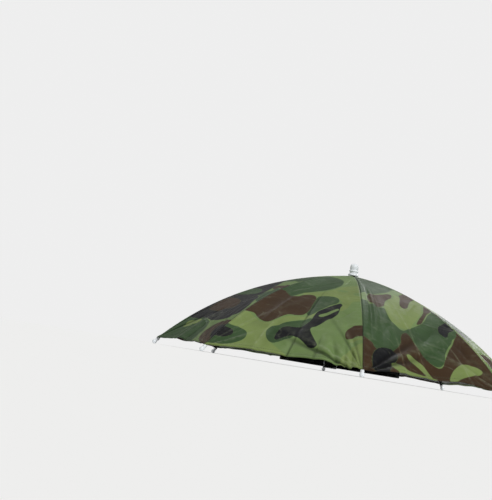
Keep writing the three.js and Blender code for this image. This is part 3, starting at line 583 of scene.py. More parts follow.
# The print, gore by gore: patches in the order that they lie over each other.
# An outline is a smooth loop through points (share across the gore, share along the rib).
CHARTS = {
    # The front gore is charted darkest, with a wide black band: its print, darkened further as painted
    # shade, for the gore that turns away from the light.
    "front": (
        ("dark_green", ((-.1, .20), (.5, .18), (1.1, .20), (1.1, .34), (.6, .32), (-.1, .34))),
        ("brown", (
            (.38, .42), (.6, .39), (.85, .42), (1.1, .45), (1.1, .50), (.8, .47), (.55, .455),
        )),
        ("black", (
            (-.1, .34), (.25, .36), (.46, .45), (.55, .54), (.76, .58), (.92, .66), (.96, .76),
            (.70, .81), (.3, .80), (-.1, .81),
        )),
        ("brown", (
            (.05, .61), (.26, .60), (.44, .62), (.50, .67), (.42, .71), (.25, .73), (.08, .71),
        )),
        ("dark_green", ((-.1, .52), (.12, .47), (.34, .48), (.40, .52), (.2, .55), (.0, .56))),
        ("dark_green", (
            (.52, .53), (.62, .48), (.8, .48), (1.1, .52), (1.1, .64), (.94, .64), (.76, .575),
        )),
        ("dark_green", (
            (-.1, .83), (.12, .81), (.38, .80), (.6, .84), (.68, .92), (.66, 1.1), (-.1, 1.1),
        )),
        ("lime", ((.13, .84), (.2, .82), (.32, .81), (.36, .83), (.28, .86), (.18, .88))),
        ("brown", ((.74, .86), (.84, .82), (1.1, .83), (1.1, .99), (.88, .97), (.76, .93))),
        ("black", ((.88, .87), (.94, .85), (1.1, .85), (1.1, .94), (.95, .93))),
    ),
    "left_front": (
        ("dark_green", (
            (-.1, .22), (.2, .18), (.5, .20), (.66, .25), (.68, .32), (.60, .38), (.50, .42),
            (.36, .46), (.28, .49), (.18, .56), (-.1, .56),
        )),
        ("lime", (
            (.28, .487), (.36, .468), (.46, .447), (.54, .425), (.60, .40), (.64, .375),
            (.70, .352), (.80, .335), (.92, .325), (1.1, .32), (1.1, .505), (.97, .520),
            (.90, .532), (.88, .555), (.85, .590), (.80, .622), (.77, .600), (.79, .565),
            (.76, .520), (.68, .492), (.55, .492), (.42, .498), (.32, .505),
        )),
        ("base", ((.66, .405), (.70, .395), (.78, .400), (.84, .415), (.79, .425), (.71, .420))),
        ("base", ((.90, .445), (.95, .425), (1.1, .420), (1.1, .455), (.96, .460))),
        ("dark_green", (
            (.49, .50), (.56, .488), (.65, .486), (.72, .498), (.752, .53), (.735, .558),
            (.68, .580), (.62, .612), (.58, .640), (.555, .665), (.52, .675), (.48, .65),
            (.48, .56),
        )),
        ("lime", (
            (-.1, .735), (.04, .735), (.10, .752), (.20, .786), (.26, .788), (.30, .768),
            (.33, .735), (.38, .710), (.45, .703), (.51, .690), (.56, .662), (.578, .672),
            (.55, .694), (.50, .715), (.43, .740), (.385, .762), (.35, .795), (.335, .84),
            (.345, .88), (.40, .912), (.47, .940), (.53, .975), (.50, 1.1), (-.1, 1.1),
        )),
        ("brown", (
            (-.1, .52), (.05, .50), (.12, .515), (.20, .540), (.27, .535), (.31, .512), (.37, .496),
            (.44, .500), (.482, .525), (.490, .58), (.497, .635), (.475, .680), (.42, .696),
            (.36, .700), (.325, .722), (.300, .755), (.265, .782), (.22, .782), (.15, .760),
            (.08, .732), (-.1, .72),
        )),
        ("dark_green", (
            (.305, .845), (.315, .805), (.35, .790), (.38, .765), (.44, .742), (.50, .722),
            (.55, .702), (.58, .72), (.55, .80), (.48, .86), (.40, .905), (.34, .885),
        )),
        ("black", (
            (.385, .872), (.378, .835), (.392, .800), (.43, .785), (.48, .782), (.52, .770),
            (.548, .745), (.568, .715), (.572, .675), (.585, .642), (.62, .620), (.66, .600),
            (.70, .582), (.74, .566), (.775, .556), (.798, .570), (.785, .592), (.782, .625),
            (.772, .655), (.74, .682), (.70, .704), (.67, .732), (.635, .760), (.602, .775),
            (.605, .795), (.635, .825), (.670, .858), (.690, .880), (.678, .896), (.64, .897),
            (.60, .877), (.56, .857), (.52, .842), (.47, .846), (.43, .872), (.405, .886),
        )),
        ("base", (
            (.612, .672), (.66, .652), (.72, .624), (.765, .605), (.772, .618), (.72, .648),
            (.67, .676), (.63, .686),
        )),
        ("dark_green", (
            (-.1, .842), (.05, .842), (.12, .850), (.18, .868), (.207, .900), (.19, .930),
            (.13, .955), (.04, .968), (-.1, .972),
        )),
        ("black", (
            (-.1, .862), (.02, .860), (.08, .870), (.102, .895), (.07, .918), (.0, .924),
            (-.1, .926),
        )),
        ("brown", (
            (.868, .800), (.878, .768), (.91, .742), (.95, .727), (1.1, .722), (1.1, .782),
            (.96, .800), (.92, .820), (.885, .826),
        )),
        ("lime", ((.90, .835), (.95, .812), (1.1, .790), (1.1, .806), (.97, .822), (.92, .845))),
        ("lime", ((.862, .945), (.90, .902), (.95, .858), (1.1, .825), (1.1, 1.1), (.88, 1.1))),
    ),
    "left": (
        ("dark_green", (
            (-.1, .03), (.5, .02), (1.1, .03), (1.1, .235), (.86, .262), (.66, .305), (.52, .335),
            (.34, .36), (.1, .39), (-.1, .41),
        )),
        ("brown", (
            (.10, .45), (.14, .400), (.22, .378), (.32, .372), (.42, .365), (.52, .352),
            (.60, .355), (.52, .398), (.44, .420), (.38, .442), (.34, .472), (.30, .503),
            (.22, .512), (.14, .495),
        )),
        ("dark_green", (
            (-.1, .51), (.10, .505), (.24, .515), (.30, .53), (.32, .62), (.38, .685), (.44, .680),
            (.52, .650), (.60, .625), (.68, .600), (.76, .566), (.85, .526), (.95, .496),
            (1.1, .46), (1.1, .66), (.90, .690), (.82, .730), (.74, .772), (.68, .815), (.64, .860),
            (.58, .890), (.52, .872), (.46, .820), (.43, .745), (.38, .715), (.33, .78), (.26, .84),
            (.1, .86), (-.1, .84),
        )),
        ("brown", (
            (.562, .472), (.585, .447), (.63, .420), (.69, .390), (.74, .365), (.79, .338),
            (.86, .322), (1.1, .30), (1.1, .365), (.92, .383), (.85, .398), (.78, .422),
            (.71, .452), (.65, .480), (.59, .490),
        )),
        ("lime", (
            (.303, .60), (.300, .56), (.310, .520), (.335, .480), (.375, .455), (.42, .435),
            (.47, .415), (.53, .404), (.58, .390), (.62, .370), (.66, .346), (.70, .335),
            (.735, .345), (.728, .366), (.69, .386), (.64, .410), (.60, .432), (.568, .456),
            (.562, .478), (.585, .492), (.63, .486), (.68, .470), (.74, .445), (.80, .420),
            (.86, .400), (.92, .385), (1.1, .350), (1.1, .385), (.97, .425), (.90, .452),
            (.83, .490), (.76, .525), (.70, .552), (.64, .580), (.58, .606), (.53, .636),
            (.49, .664), (.44, .676), (.39, .670), (.35, .652), (.32, .630),
        )),
        ("brown", (
            (.60, .617), (.64, .590), (.70, .560), (.77, .530), (.84, .500), (.91, .465),
            (1.1, .395), (1.1, .445), (.95, .490), (.87, .512), (.80, .540), (.73, .572),
            (.67, .602),
        )),
        ("black", (
            (.785, .667), (.80, .640), (.84, .612), (.88, .600), (.93, .585), (1.1, .550),
            (1.1, .600), (.98, .630), (.90, .652), (.85, .680), (.81, .690),
        )),
        ("brown", (
            (.332, .775), (.350, .738), (.38, .712), (.42, .706), (.440, .742), (.455, .790),
            (.48, .832), (.52, .872), (.57, .896), (.61, .886), (.65, .850), (.70, .812),
            (.76, .772), (.82, .740), (.88, .704), (.94, .675), (1.1, .625), (1.1, 1.1), (-.1, 1.1),
            (-.1, .80), (.06, .81), (.10, .85), (.20, .86), (.28, .82),
        )),
        ("black", (
            (.075, .960), (.068, .905), (.095, .862), (.150, .838), (.215, .842), (.262, .862),
            (.250, .900), (.215, .925), (.190, .955), (.170, .985), (.120, .985),
        )),
        ("lime", (
            (.345, .852), (.37, .845), (.41, .868), (.45, .900), (.485, .940), (.52, .985),
            (.47, .975), (.43, .932), (.39, .902), (.36, .877),
        )),
        ("lime", (
            (.205, .922), (.25, .915), (.31, .935), (.38, .947), (.45, .955), (.54, .965),
            (.60, 1.05), (.3, 1.05), (.25, .968), (.215, .946),
        )),
        ("lime", (
            (.612, .958), (.65, .920), (.70, .890), (.76, .866), (.83, .853), (.89, .858),
            (.925, .876), (.90, .896), (.83, .911), (.77, .926), (.70, .946), (.645, .968),
        )),
    ),
    "back": (
        ("brown", (
            (-.1, .27), (.3, .25), (.7, .22), (1.1, .21), (1.1, .28), (.6, .30), (.2, .34),
            (-.1, .36),
        )),
        ("lime", (
            (-.1, .39), (.2, .37), (.6, .33), (1.1, .30), (1.1, .37), (.6, .40), (.2, .44),
            (-.1, .45),
        )),
        ("brown", ((-.1, .45), (.2, .45), (.55, .42), (.7, .45), (.5, .50), (.2, .53), (-.1, .54))),
        ("dark_green", (
            (.1, .54), (.5, .50), (.9, .44), (1.1, .46), (1.1, .60), (.8, .64), (.3, .62),
        )),
        ("black", (
            (.45, .58), (.6, .55), (.8, .57), (.78, .62), (.66, .63), (.6, .69), (.48, .68),
            (.42, .63),
        )),
        ("lime", ((-.1, .66), (.15, .66), (.3, .72), (.28, .80), (.12, .83), (-.1, .80))),
        ("brown", (
            (.3, .84), (.45, .76), (.65, .74), (.78, .80), (.75, .90), (.6, .95), (.42, .93),
        )),
        ("lime", ((.8, .70), (.92, .68), (1.1, .74), (1.1, .86), (.95, .88), (.84, .80))),
        ("dark_green", ((.02, .90), (.2, .88), (.36, .95), (.3, 1.1), (-.1, 1.1), (-.1, .94))),
        ("black", ((.82, .92), (.92, .90), (1.1, .93), (1.1, 1.1), (.84, 1.1))),
    ),
}

# Which chart each gore is cut from, starting with the gore after rib 1, whether the cut is
# mirrored, and how far it slid across and along the roll
CUTS = (
    ("back", False, 0.0, 0.0),
    ("left_front", True, 0.06, 0.03),
    ("left", True, -0.08, -0.02),
    ("back", True, 0.1, -0.05),
    ("left", False, 0.12, 0.05),
    ("front", False, 0.0, 0.0),
    ("left_front", False, 0.0, 0.0),
    ("left", False, 0.0, 0.0),
)


FAR_AWAY = -99.0


def closed_curve(points, steps=6):
    """A smooth loop through the points (Catmull-Rom)."""
    p = np.asarray(points, float)
    before, after, later = np.roll(p, 1, 0), np.roll(p, -1, 0), np.roll(p, -2, 0)
    t = np.linspace(0, 1, steps, endpoint=False)[:, None, None]
    curve = 0.5 * (
        2 * p
        + (after - before) * t
        + (2 * before - 5 * p + 4 * after - later) * t**2
        + (3 * p - before - 3 * after + later) * t**3
    )
    return curve.transpose(1, 0, 2).reshape(-1, 2)


def depth_inside(x, y, loop):
    """Distance to a loop in the units of x and y, positive inside it."""
    px, py = x.reshape(-1, 1), y.reshape(-1, 1)
    ax, ay = loop[:, 0], loop[:, 1]
    bx, by = np.roll(ax, -1), np.roll(ay, -1)
    dx, dy = bx - ax, by - ay
    t = np.clip(((px - ax) * dx + (py - ay) * dy) / (dx * dx + dy * dy + 1e-12), 0, 1)
    away = np.sqrt(((px - ax - t * dx) ** 2 + (py - ay - t * dy) ** 2).min(axis=1))
    level = np.where(by == ay, 1e-12, by - ay)
    crossed = ((ay > py) != (by > py)) & (px < ax + (py - ay) * dx / level)
    inside = crossed.sum(axis=1) % 2 == 1
    return np.where(inside, away, -away).reshape(x.shape)


def print_fields(gore, across, share):
    """For each tone, how deep a point lies inside its visible patches, in millimetres; a point that
    is far from them all gets FAR_AWAY."""
    chart, mirrored, slide_across, slide_along = CUTS[gore]
    x = (across - 0.5) * gore_width(share) / MM
    y = share * RIB_LENGTH / MM
    fields = {tone: np.full(across.shape, FAR_AWAY) for tone in TONES}
    for tone, outline in CHARTS[chart]:
        points = np.asarray(outline, float)
        if mirrored:
            points[:, 0] = 1 - points[:, 0]
        points = points + (slide_across, slide_along)
        width = gore_width(np.clip(points[:, 1], 0.02, 1))
        places = np.stack([(points[:, 0] - 0.5) * width, points[:, 1] * RIB_LENGTH], axis=1)
        loop = closed_curve(places / MM)
        depth = depth_inside(x, y, loop)
        for other in TONES:
            limit = np.maximum if other == tone else np.minimum
            fields[other] = limit(fields[other], depth if other == tone else -depth)
    return fields


CLOTH_COLUMNS = 112
CLOTH_ROWS = 150
CROWDED_SEAMS = 0.3  # how much closer together the columns are at the seams
LOOSE_TOP = 0.5  # how much further apart the rows are at the hole

Gore = namedtuple("Gore", "outer inner layers")


def cloth_grid():
    """Shares along and across a gore."""
    t = np.linspace(0, 1, CLOTH_COLUMNS + 1)
    across = t - CROWDED_SEAMS * np.sin(2 * math.pi * t) / (2 * math.pi)
    rows = np.linspace(0, 1, CLOTH_ROWS + 1)
    along = rows + LOOSE_TOP * (rows - rows**6) * (1 - rows)
    return np.meshgrid(along, across, indexing="ij")


def gore_surface(gore, along, across):
    """Plain outer face of a gore between two ribs, and the share of the rib at each point."""
    start = share_at_radius(APEX_HOLE / math.cos(RIB_TURN / 2))
    end = 1 - CORNER_END / float(rib_line(1)[4])
    scallop = HEM_SCALLOP * 4 * across * (1 - across) / RIB_CHORD
    share = start + along * (end - scallop - start)
    lift = CLOTH_ROOM + CLOTH_WALL + CORNER_LIFT * smooth(1 - CORNER_REACH / RIB_LENGTH, end, share)
    left = rib_point(rib_angle(gore), share, lift)
    right = rib_point(rib_angle(gore + 1), share, lift)
    middle = rib_angle(gore) + RIB_TURN / 2
    _, _, out, up, _ = rib_line(share)
    sag = GORE_SAG * np.interp(along, SAG_ALONG, SAG_SHARE) * 4 * across * (1 - across)
    inward = np.stack([out * math.cos(middle), out * math.sin(middle), up], axis=-1)
    return left + (right - left) * across[..., None] - inward * sag[..., None], share


def gore_normals(gore, plain, share):
    """Outward directions on a gore; on a seam they follow the rib, so that two gores meet there."""
    normal = np.cross(np.gradient(plain, axis=0), np.gradient(plain, axis=1))
    normal /= np.linalg.norm(normal, axis=-1, keepdims=True)
    for side in (0, -1):
        angle = rib_angle(gore - side)
        _, _, out, up, _ = rib_line(share[:, side])
        normal[:, side] = np.stack([out * math.cos(angle), out * math.sin(angle), up], axis=-1)
    return normal


def layer_edge(distance, limit):
    """1 within the limit and 0 beyond it, with the soft step of a folded layer of cloth."""
    return 1 - smooth(limit - FOLD_EDGE, limit + FOLD_EDGE, distance)


def shape_gore(gore, rng):
    """A gore's two skins as grids of points, and what its cloth carries at each of them."""
    along, across = cloth_grid()
    plain, share = gore_surface(gore, along, across)
    width = gore_width(share)
    left, right = across * width, (1 - across) * width
    edge = np.minimum(left, right)
    to_hem = (share[-1] - share) * RIB_LENGTH

    height, crease = fold_height(gore, across, share, width)
    pleats = pleat_height(gore, across, share, width, rng)
    height += pleats
    # pleats add painted shade to the crease layer in their valleys, and paler painted ridges
    crease = np.clip(crease + PLEAT_SHADE * pleats / PLEAT_HEIGHT, -1, 1)
    height += pucker_height(across, share, width, rng)
    height += wave_height(across, share, width, rng)
    height += wrinkle_height(across, share, width, rng)
    height *= smooth(0, CALM_BY_SEAM, edge)
    flutter = np.sin(2 * math.pi * (across * rng.uniform(*FLUTTER_WAVES) + rng.uniform(0, 1)))
    height += FLUTTER_HEIGHT * flutter * np.exp(-to_hem / FLUTTER_REACH) * 4 * across * (1 - across)

    hem = layer_edge(to_hem, HEM_FOLD)
    allowance = layer_edge(left, SEAM_FOLD) * smooth(FOLD_EDGE, 3 * FOLD_EDGE, left)
    stitched = np.exp(-(((to_hem - HEM_STITCH) / HEM_STITCH_WIDTH) ** 2))
    height += HEM_THICK * hem + SEAM_THICK * allowance - HEM_STITCH_SINK * stitched
    height -= SEAM_GROOVE * np.exp(-((edge / SEAM_GROOVE_WIDTH) ** 2))
    thick = CLOTH_WALL + 2 * HEM_THICK * hem + 2 * SEAM_THICK * allowance

    normal = gore_normals(gore, plain, share)
    outer = plain + normal * height[..., None]
    layers = print_fields(gore, across, share)
    # the crease and seam layers carry the painted shade and highlight of folds, pleats and seams
    layers["crease"] = crease
    layers["seam"] = np.exp(-((edge / SEAM_LINE) ** 2))
    layers["u"] = (across - 0.5) * width + CLOTH_SPACING * gore
    layers["v"] = share * RIB_LENGTH
    return Gore(outer, outer - normal * thick[..., None], layers)


def make_gore(number, gore):
    """A gore as a closed sheet: printed outside and on its turned-in hem, silver inside."""
    rows, columns = gore.outer.shape[:2]
    half = rows * columns
    index = np.arange(half).reshape(rows, columns)
    corners = (index[:-1, :-1], index[1:, :-1], index[1:, 1:], index[:-1, 1:])
    skin = np.stack(corners, axis=-1).reshape(-1, 4)
    rim = np.concatenate([index[0, :-1], index[:-1, -1], index[-1, :0:-1], index[:0:-1, 0]])
    after = np.roll(rim, -1)
    walls = np.stack([rim, after, after + half, rim + half], axis=-1)
    v = gore.layers["v"]
    silver = v[:-1, :-1] < v[-1, :-1] - HEM_FOLD
    made = piece(
        f"gore_panel_{number}",
        np.concatenate([gore.outer.reshape(-1, 3), gore.inner.reshape(-1, 3)]),
        np.concatenate([skin, skin[:, ::-1] + half, walls]),
        [cloth_print, cloth_silver],
        "canopy",
        np.concatenate([np.zeros(len(skin), int), silver.reshape(-1), np.zeros(len(walls), int)]),
        walls=len(walls),
    )
    mesh = made.data
    for name in [*TONES, "crease", "seam"]:
        values = np.tile(gore.layers[name].reshape(-1), 2).astype(np.float32)
        mesh.attributes.new(name, "FLOAT", "POINT").data.foreach_set("value", values)
    corner = np.zeros(len(mesh.loops), np.int32)
    mesh.loops.foreach_get("vertex_index", corner)
    place = [np.tile(gore.layers[axis].reshape(-1), 2)[corner] for axis in ("u", "v")]
    uv = mesh.uv_layers.new(name="cloth")
    uv.data.foreach_set("uv", np.stack(place, axis=1).astype(np.float32).ravel())


cloth_chance = np.random.default_rng(11)
gores = [shape_gore(gore, cloth_chance) for gore in range(RIBS)]
for place, gore in enumerate(gores):
    make_gore(place + 1, gore)


def revolve(profile, sides, pose):
    """Points and faces of a closed turned shape, from (radius, height) rows about the pose's z."""
    turns = np.linspace(0, 2 * math.pi, sides, endpoint=False)
    points, faces, rings = [], [], []
    for radius, height in profile:
        if radius < 1e-7:
            rings.append([len(points)])
            points.append(pose @ Vector((0, 0, height)))
        else:
            rings.append(list(range(len(points), len(points) + sides)))
            points += [pose @ Vector((radius * math.cos(t), radius * math.sin(t), height)) for t in turns]
    for low, high in zip(rings, rings[1:]):
        for k in range(sides):
            after = (k + 1) % sides
            if len(low) == 1:
                faces.append((low[0], high[after], high[k]))
            elif len(high) == 1:
                faces.append((low[k], low[after], high[0]))
            else:
                faces.append((low[k], low[after], high[after], high[k]))
    return points, faces


def arc_rows(centre, radius, start, end, steps):
    """Rows of a profile on an arc about (0, centre), with turns from the axis in degrees."""
    rows = []
    for t in np.radians(np.linspace(start, end, steps + 1)):
        rows.append((radius * math.sin(t), centre + radius * math.cos(t)))
    return rows


def tip_pose(angle):
    radius, height, out, up, _ = rib_line(1)
    along = Vector((up * math.cos(angle), up * math.sin(angle), -out))
    side = Vector((-math.sin(angle), math.cos(angle), 0))
    basis = Matrix((side, along.cross(side), along)).transposed().to_4x4()
    basis.translation = Vector(rib_point(angle, 1, 0))
    return basis


def make_tips():
    """White ball tips: a ball, a waist, a bead and a tapered sleeve that takes the rib's end."""
    sleeve = (  # radius and height in millimetres, from the end of the rib's seat in the ball
        (0.0, -3.6), (2.05, -3.6), (2.05, -9.0), (2.40, -9.1), (2.50, -8.8), (2.62, -6.6),
        (2.72, -5.8), (2.72, -5.0), (2.45, -4.2), (2.22, -3.6), (2.22, -3.2),
    )
    profile = [(radius * MM, height * MM) for radius, height in sleeve]
    profile += arc_rows(0, BALL_RADIUS, 139, 0, 22)
    profile[-1] = (0.0, BALL_RADIUS)
    for index in range(RIBS):
        points, faces = revolve(profile, 40, tip_pose(rib_angle(index)))
        for point in points:
            point.z = max(point.z, 0.0)
        piece(
            f"ball_tip_{index + 1}", points, faces, [white_plastic],
            f"rib_tip_{index + 1}",
        )


make_tips()


FINIAL_BORE = 0.0033
FINIAL_BORE_DEPTH = 0.008


def make_finial():
    """Translucent cap over the shaft's end: a flared foot, a neck ring and a domed barrel."""
    low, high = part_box("finial")
    seat, tall, wide = low[2], high[2] - low[2], (high[0] - low[0]) / 2
    bore, ceiling = FINIAL_BORE, seat + FINIAL_BORE_DEPTH
    outline = (  # shares of the cap's radius and height
        (bore / wide, 0.0), (0.97, 0.0), (1.0, 0.015), (1.0, 0.085), (0.97, 0.105), (0.84, 0.15),
        (0.76, 0.20), (0.73, 0.27), (0.74, 0.305), (0.83, 0.325), (0.875, 0.35), (0.88, 0.38),
        (0.875, 0.41), (0.83, 0.435), (0.76, 0.455), (0.755, 0.50), (0.785, 0.60), (0.79, 0.70),
        (0.77, 0.79), (0.70, 0.88), (0.58, 0.945), (0.42, 0.98), (0.22, 0.996), (0.0, 1.0),
    )
    rows = [(0.0, ceiling), (bore, ceiling)]
    rows += [(r * wide, seat + h * tall) for r, h in outline]
    points, faces = revolve(rows, 48, Matrix())
    piece("finial_cap", points, faces, [white_plastic], "finial")


make_finial()


def band_point(turn, outward, height):
    normal = np.stack([BAND_HALF_LENGTH * np.cos(turn), BAND_HALF_WIDTH * np.sin(turn)], axis=-1)
    normal /= np.linalg.norm(normal, axis=-1, keepdims=True)
    return np.stack(
        [
            BAND_HALF_WIDTH * np.cos(turn) + normal[..., 0] * outward,
            BAND_HALF_LENGTH * np.sin(turn) + normal[..., 1] * outward,
            height + 0 * turn,
        ],
        axis=-1,
    )


def band_turn(azimuth):
    return math.atan2(BAND_HALF_WIDTH * math.sin(azimuth), BAND_HALF_LENGTH * math.cos(azimuth))


def band_pose(azimuth, height):
    """Frame on the band's middle surface: x along the band, y outward, z up."""
    turn = np.array(band_turn(azimuth))
    outward = Vector(band_point(turn, 1, 0) - band_point(turn, 0, 0)).normalized()
    along = Vector((outward.y, -outward.x, 0))
    basis = Matrix((along, outward, Vector((0, 0, 1)))).transposed().to_4x4()
    basis.translation = Vector(band_point(turn, -BAND_WALL / 2, height))
    return basis


BAND_STEPS = 360
BAND_CORDS = 9
CORD_STEPS = 6
CORD_RIDGE = 0.00012
BAND_EDGE = 14  # the band's edges are rounded over one part in this many of its height
BAND_BULGE = 0.0007  # where it runs over the slider's bar
BULGE_TURN = 0.03


def make_headband():
    """Elastic band: rubber cords show as fine ridges along it, and it bows over the slider's bar."""
    face_steps = BAND_CORDS * CORD_STEPS
    t = np.linspace(0, 1, face_steps + 1)
    rounded = np.minimum(1, np.minimum(t, 1 - t) * BAND_EDGE)
    bulge = (0.5 + 0.5 * np.sqrt(np.clip(1 - (1 - rounded) ** 2, 0, 1))) * BAND_WALL / 2
    cord = CORD_RIDGE * np.abs(np.sin(math.pi * BAND_CORDS * t)) * rounded
    out = bulge - CORD_RIDGE + cord
    front = np.stack([out, t * BAND_HEIGHT], axis=1)
    back = np.stack([-out, t * BAND_HEIGHT], axis=1)[::-1]
    section = np.concatenate([front, back])
    turns = np.linspace(0, 2 * math.pi, BAND_STEPS, endpoint=False)
    bar = band_turn(SLIDER_AZIMUTH)
    away = (turns - bar + math.pi) % (2 * math.pi) - math.pi
    over_bar = BAND_BULGE * np.exp(-((away / BULGE_TURN) ** 2))
    count = len(section)
    points = np.zeros((BAND_STEPS, count, 3))
    for k, (out, up) in enumerate(section):
        points[:, k] = band_point(turns, -BAND_WALL / 2 + out + over_bar, BAND_FLOOR + up)
    step, place = np.meshgrid(np.arange(BAND_STEPS), np.arange(count), indexing="ij")
    after, beside = (step + 1) % BAND_STEPS, (place + 1) % count
    faces = np.stack(
        [step * count + place, after * count + place, after * count + beside, step * count + beside],
        axis=-1,
    ).reshape(-1, 4)
    band = piece(
        "elastic_band", points.reshape(-1, 3), faces, [elastic], "headband"
    )
    length = math.pi * (BAND_HALF_WIDTH + BAND_HALF_LENGTH)
    uv = band.data.uv_layers.new(name="cloth")
    spread = np.arange(count) / count * 2 * BAND_HEIGHT
    first, last = step / BAND_STEPS * length, (step + 1) / BAND_STEPS * length
    near, far = spread[place], spread[place] + 2 * BAND_HEIGHT / count
    around = ((first, near), (last, near), (last, far), (first, far))
    corners = np.stack([np.stack(corner, axis=-1) for corner in around], axis=2)
    uv.data.foreach_set("uv", corners.astype(np.float32).ravel())


make_headband()


def tube(path, radius, sides=12, closed=False):
    """Points and faces of a round tube along a path of vectors, with domed ends."""
    path = [Vector(p) for p in path]
    count = len(path)
    points, faces = [], []
    normal = None
    for k, here in enumerate(path):
        before = path[k - 1] if (k or closed) else here
        after = path[(k + 1) % count] if (k + 1 < count or closed) else here
        along = (after - before).normalized()
        if normal is None:
            normal = along.orthogonal().normalized()
        normal = (normal - along * normal.dot(along)).normalized()
        other = along.cross(normal)
        for s in range(sides):
            turn = 2 * math.pi * s / sides
            points.append(here + (normal * math.cos(turn) + other * math.sin(turn)) * radius)
    spans = count if closed else count - 1
    for k in range(spans):
        low, high = k * sides, (k + 1) % count * sides
        for s in range(sides):
            r = (s + 1) % sides
            faces.append((low + s, low + r, high + r, high + s))
    if not closed:
        faces.append(tuple(reversed(range(sides))))
        faces.append(tuple(range((count - 1) * sides, count * sides)))
    return points, faces


def rounded_rectangle(width, height, corner, steps=6):
    """Corner-rounded loop of (x, z) pairs about the origin."""
    loop = []
    for quarter, (x, z) in enumerate(((1, -1), (1, 1), (-1, 1), (-1, -1))):
        centre = (x * (width / 2 - corner), z * (height / 2 - corner))
        for k in range(steps + 1):
            turn = math.radians(-90 + 90 * quarter + 90 * k / steps)
            loop.append((centre[0] + corner * math.cos(turn), centre[1] + corner * math.sin(turn)))
    return loop


def merge(*shapes):
    points, faces = [], []
    for more_points, more_faces in shapes:
        faces += [tuple(i + len(points) for i in face) for face in more_faces]
        points += list(more_points)
    return points, faces


SLIDER_GAP = 0.0003  # band to the ring before it
BAR_GAP = 0.0008  # band to the bar behind it
SLIDER_CORNER = 0.0018
BAR_BEND = 0.0012
BAR_WIRE = 0.95 * SLIDER_WIRE


def make_slider():
    """White slider: a round-wire rectangle before the band and a bar behind it."""
    low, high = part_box("slider")
    wire = SLIDER_WIRE
    height = high[2] - low[2] - 2 * wire
    width = SLIDER_WIDTH - 2 * wire
    front = BAND_WALL / 2 + SLIDER_GAP + wire
    back = -(BAND_WALL / 2 + BAR_GAP + wire)
    pose = band_pose(SLIDER_AZIMUTH, (low[2] + high[2]) / 2)
    loop = rounded_rectangle(width, height, SLIDER_CORNER)
    ring = [pose @ Vector((x, front, z)) for x, z in loop]
    bend_y, bend_z = back + BAR_BEND, BAR_BEND - height / 2
    bar = [(front, -height / 2), (0.0, -height / 2), (bend_y, -height / 2)]
    for k in range(5):
        turn = math.radians(90 * k / 4)
        bar.append((bend_y - BAR_BEND * math.sin(turn), bend_z - BAR_BEND * math.cos(turn)))
    bar = bar + [(y, -z) for y, z in reversed(bar)]
    staple = [pose @ Vector((0, y, z)) for y, z in bar]
    points, faces = merge(tube(ring, wire, 14, closed=True), tube(staple, BAR_WIRE, 14))
    piece("band_slider", points, faces, [white_plastic], "slider")


make_slider()

STITCH_PITCH = 0.0032
STITCH_LENGTH = 0.0026
THREAD_RADIUS = 0.0002
THREAD_LIFT = 0.00005


def new_tree(name, sizes):
    """A Geometry Nodes tree that is given lines, the named sizes and a thread: the tree, its
    inputs' identifiers by name, and what it is given."""
    tree = bpy.data.node_groups.new(name, "GeometryNodeTree")
    face = tree.interface
    face.new_socket("Geometry", in_out="INPUT", socket_type="NodeSocketGeometry")
    kinds = {**dict.fromkeys(sizes, "NodeSocketFloat"), "Thread": "NodeSocketMaterial"}
    sockets = {}
    for title, kind in kinds.items():
        sockets[title] = face.new_socket(title, in_out="INPUT", socket_type=kind).identifier
    face.new_socket("Geometry", in_out="OUTPUT", socket_type="NodeSocketGeometry")
    return tree, sockets, add(tree, "NodeGroupInput").outputs


def stitch_tree():
    """Geometry Nodes: a short thread at each stitch along the lines that it is given."""
    sizes = ("Stitch pitch", "Stitch length", "Thread radius")
    tree, sockets, given = new_tree("stitches", sizes)
    curve = add(tree, "GeometryNodeMeshToCurve", {"Mesh": given["Geometry"]})
    spaced = {"Curve": curve, "Length": given["Stitch pitch"]}
    points = add(tree, "GeometryNodeCurveToPoints", spaced, mode="LENGTH").outputs
    bead = add(tree, "GeometryNodeMeshUVSphere", {"Segments": 6, "Rings": 6, "Radius": 1.0})
    half = add(tree, "ShaderNodeMath", {0: given["Stitch length"], 1: 0.5}, operation="MULTIPLY")
    thick = given["Thread radius"]
    size = add(tree, "ShaderNodeCombineXYZ", {0: thick, 1: thick, 2: half})
    place = {"Points": points["Points"], "Rotation": points["Rotation"], "Scale": size}
    placed = add(tree, "GeometryNodeInstanceOnPoints", {**place, "Instance": bead})
    real = add(tree, "GeometryNodeRealizeInstances", {0: placed})
    done = add(tree, "GeometryNodeSetMaterial", {"Geometry": real, "Material": given["Thread"]})
    add(tree, "NodeGroupOutput", {0: done})
    return tree, sockets


def tie_tree():
    """Geometry Nodes: a thread that runs along each of the lines that it is given."""
    tree, sockets, given = new_tree("ties", ("Thread radius",))
    curve = add(tree, "GeometryNodeMeshToCurve", {"Mesh": given["Geometry"]})
    round_thread = {"Resolution": 6, "Radius": given["Thread radius"]}
    ring = add(tree, "GeometryNodeCurvePrimitiveCircle", round_thread)
    swept = {"Curve": curve, "Profile Curve": ring, "Fill Caps": True}
    swept = add(tree, "GeometryNodeCurveToMesh", swept)
    real = add(tree, "GeometryNodeRealizeInstances", {0: swept})
    done = add(tree, "GeometryNodeSetMaterial", {"Geometry": real, "Material": given["Thread"]})
    add(tree, "NodeGroupOutput", {0: done})
    return tree, sockets


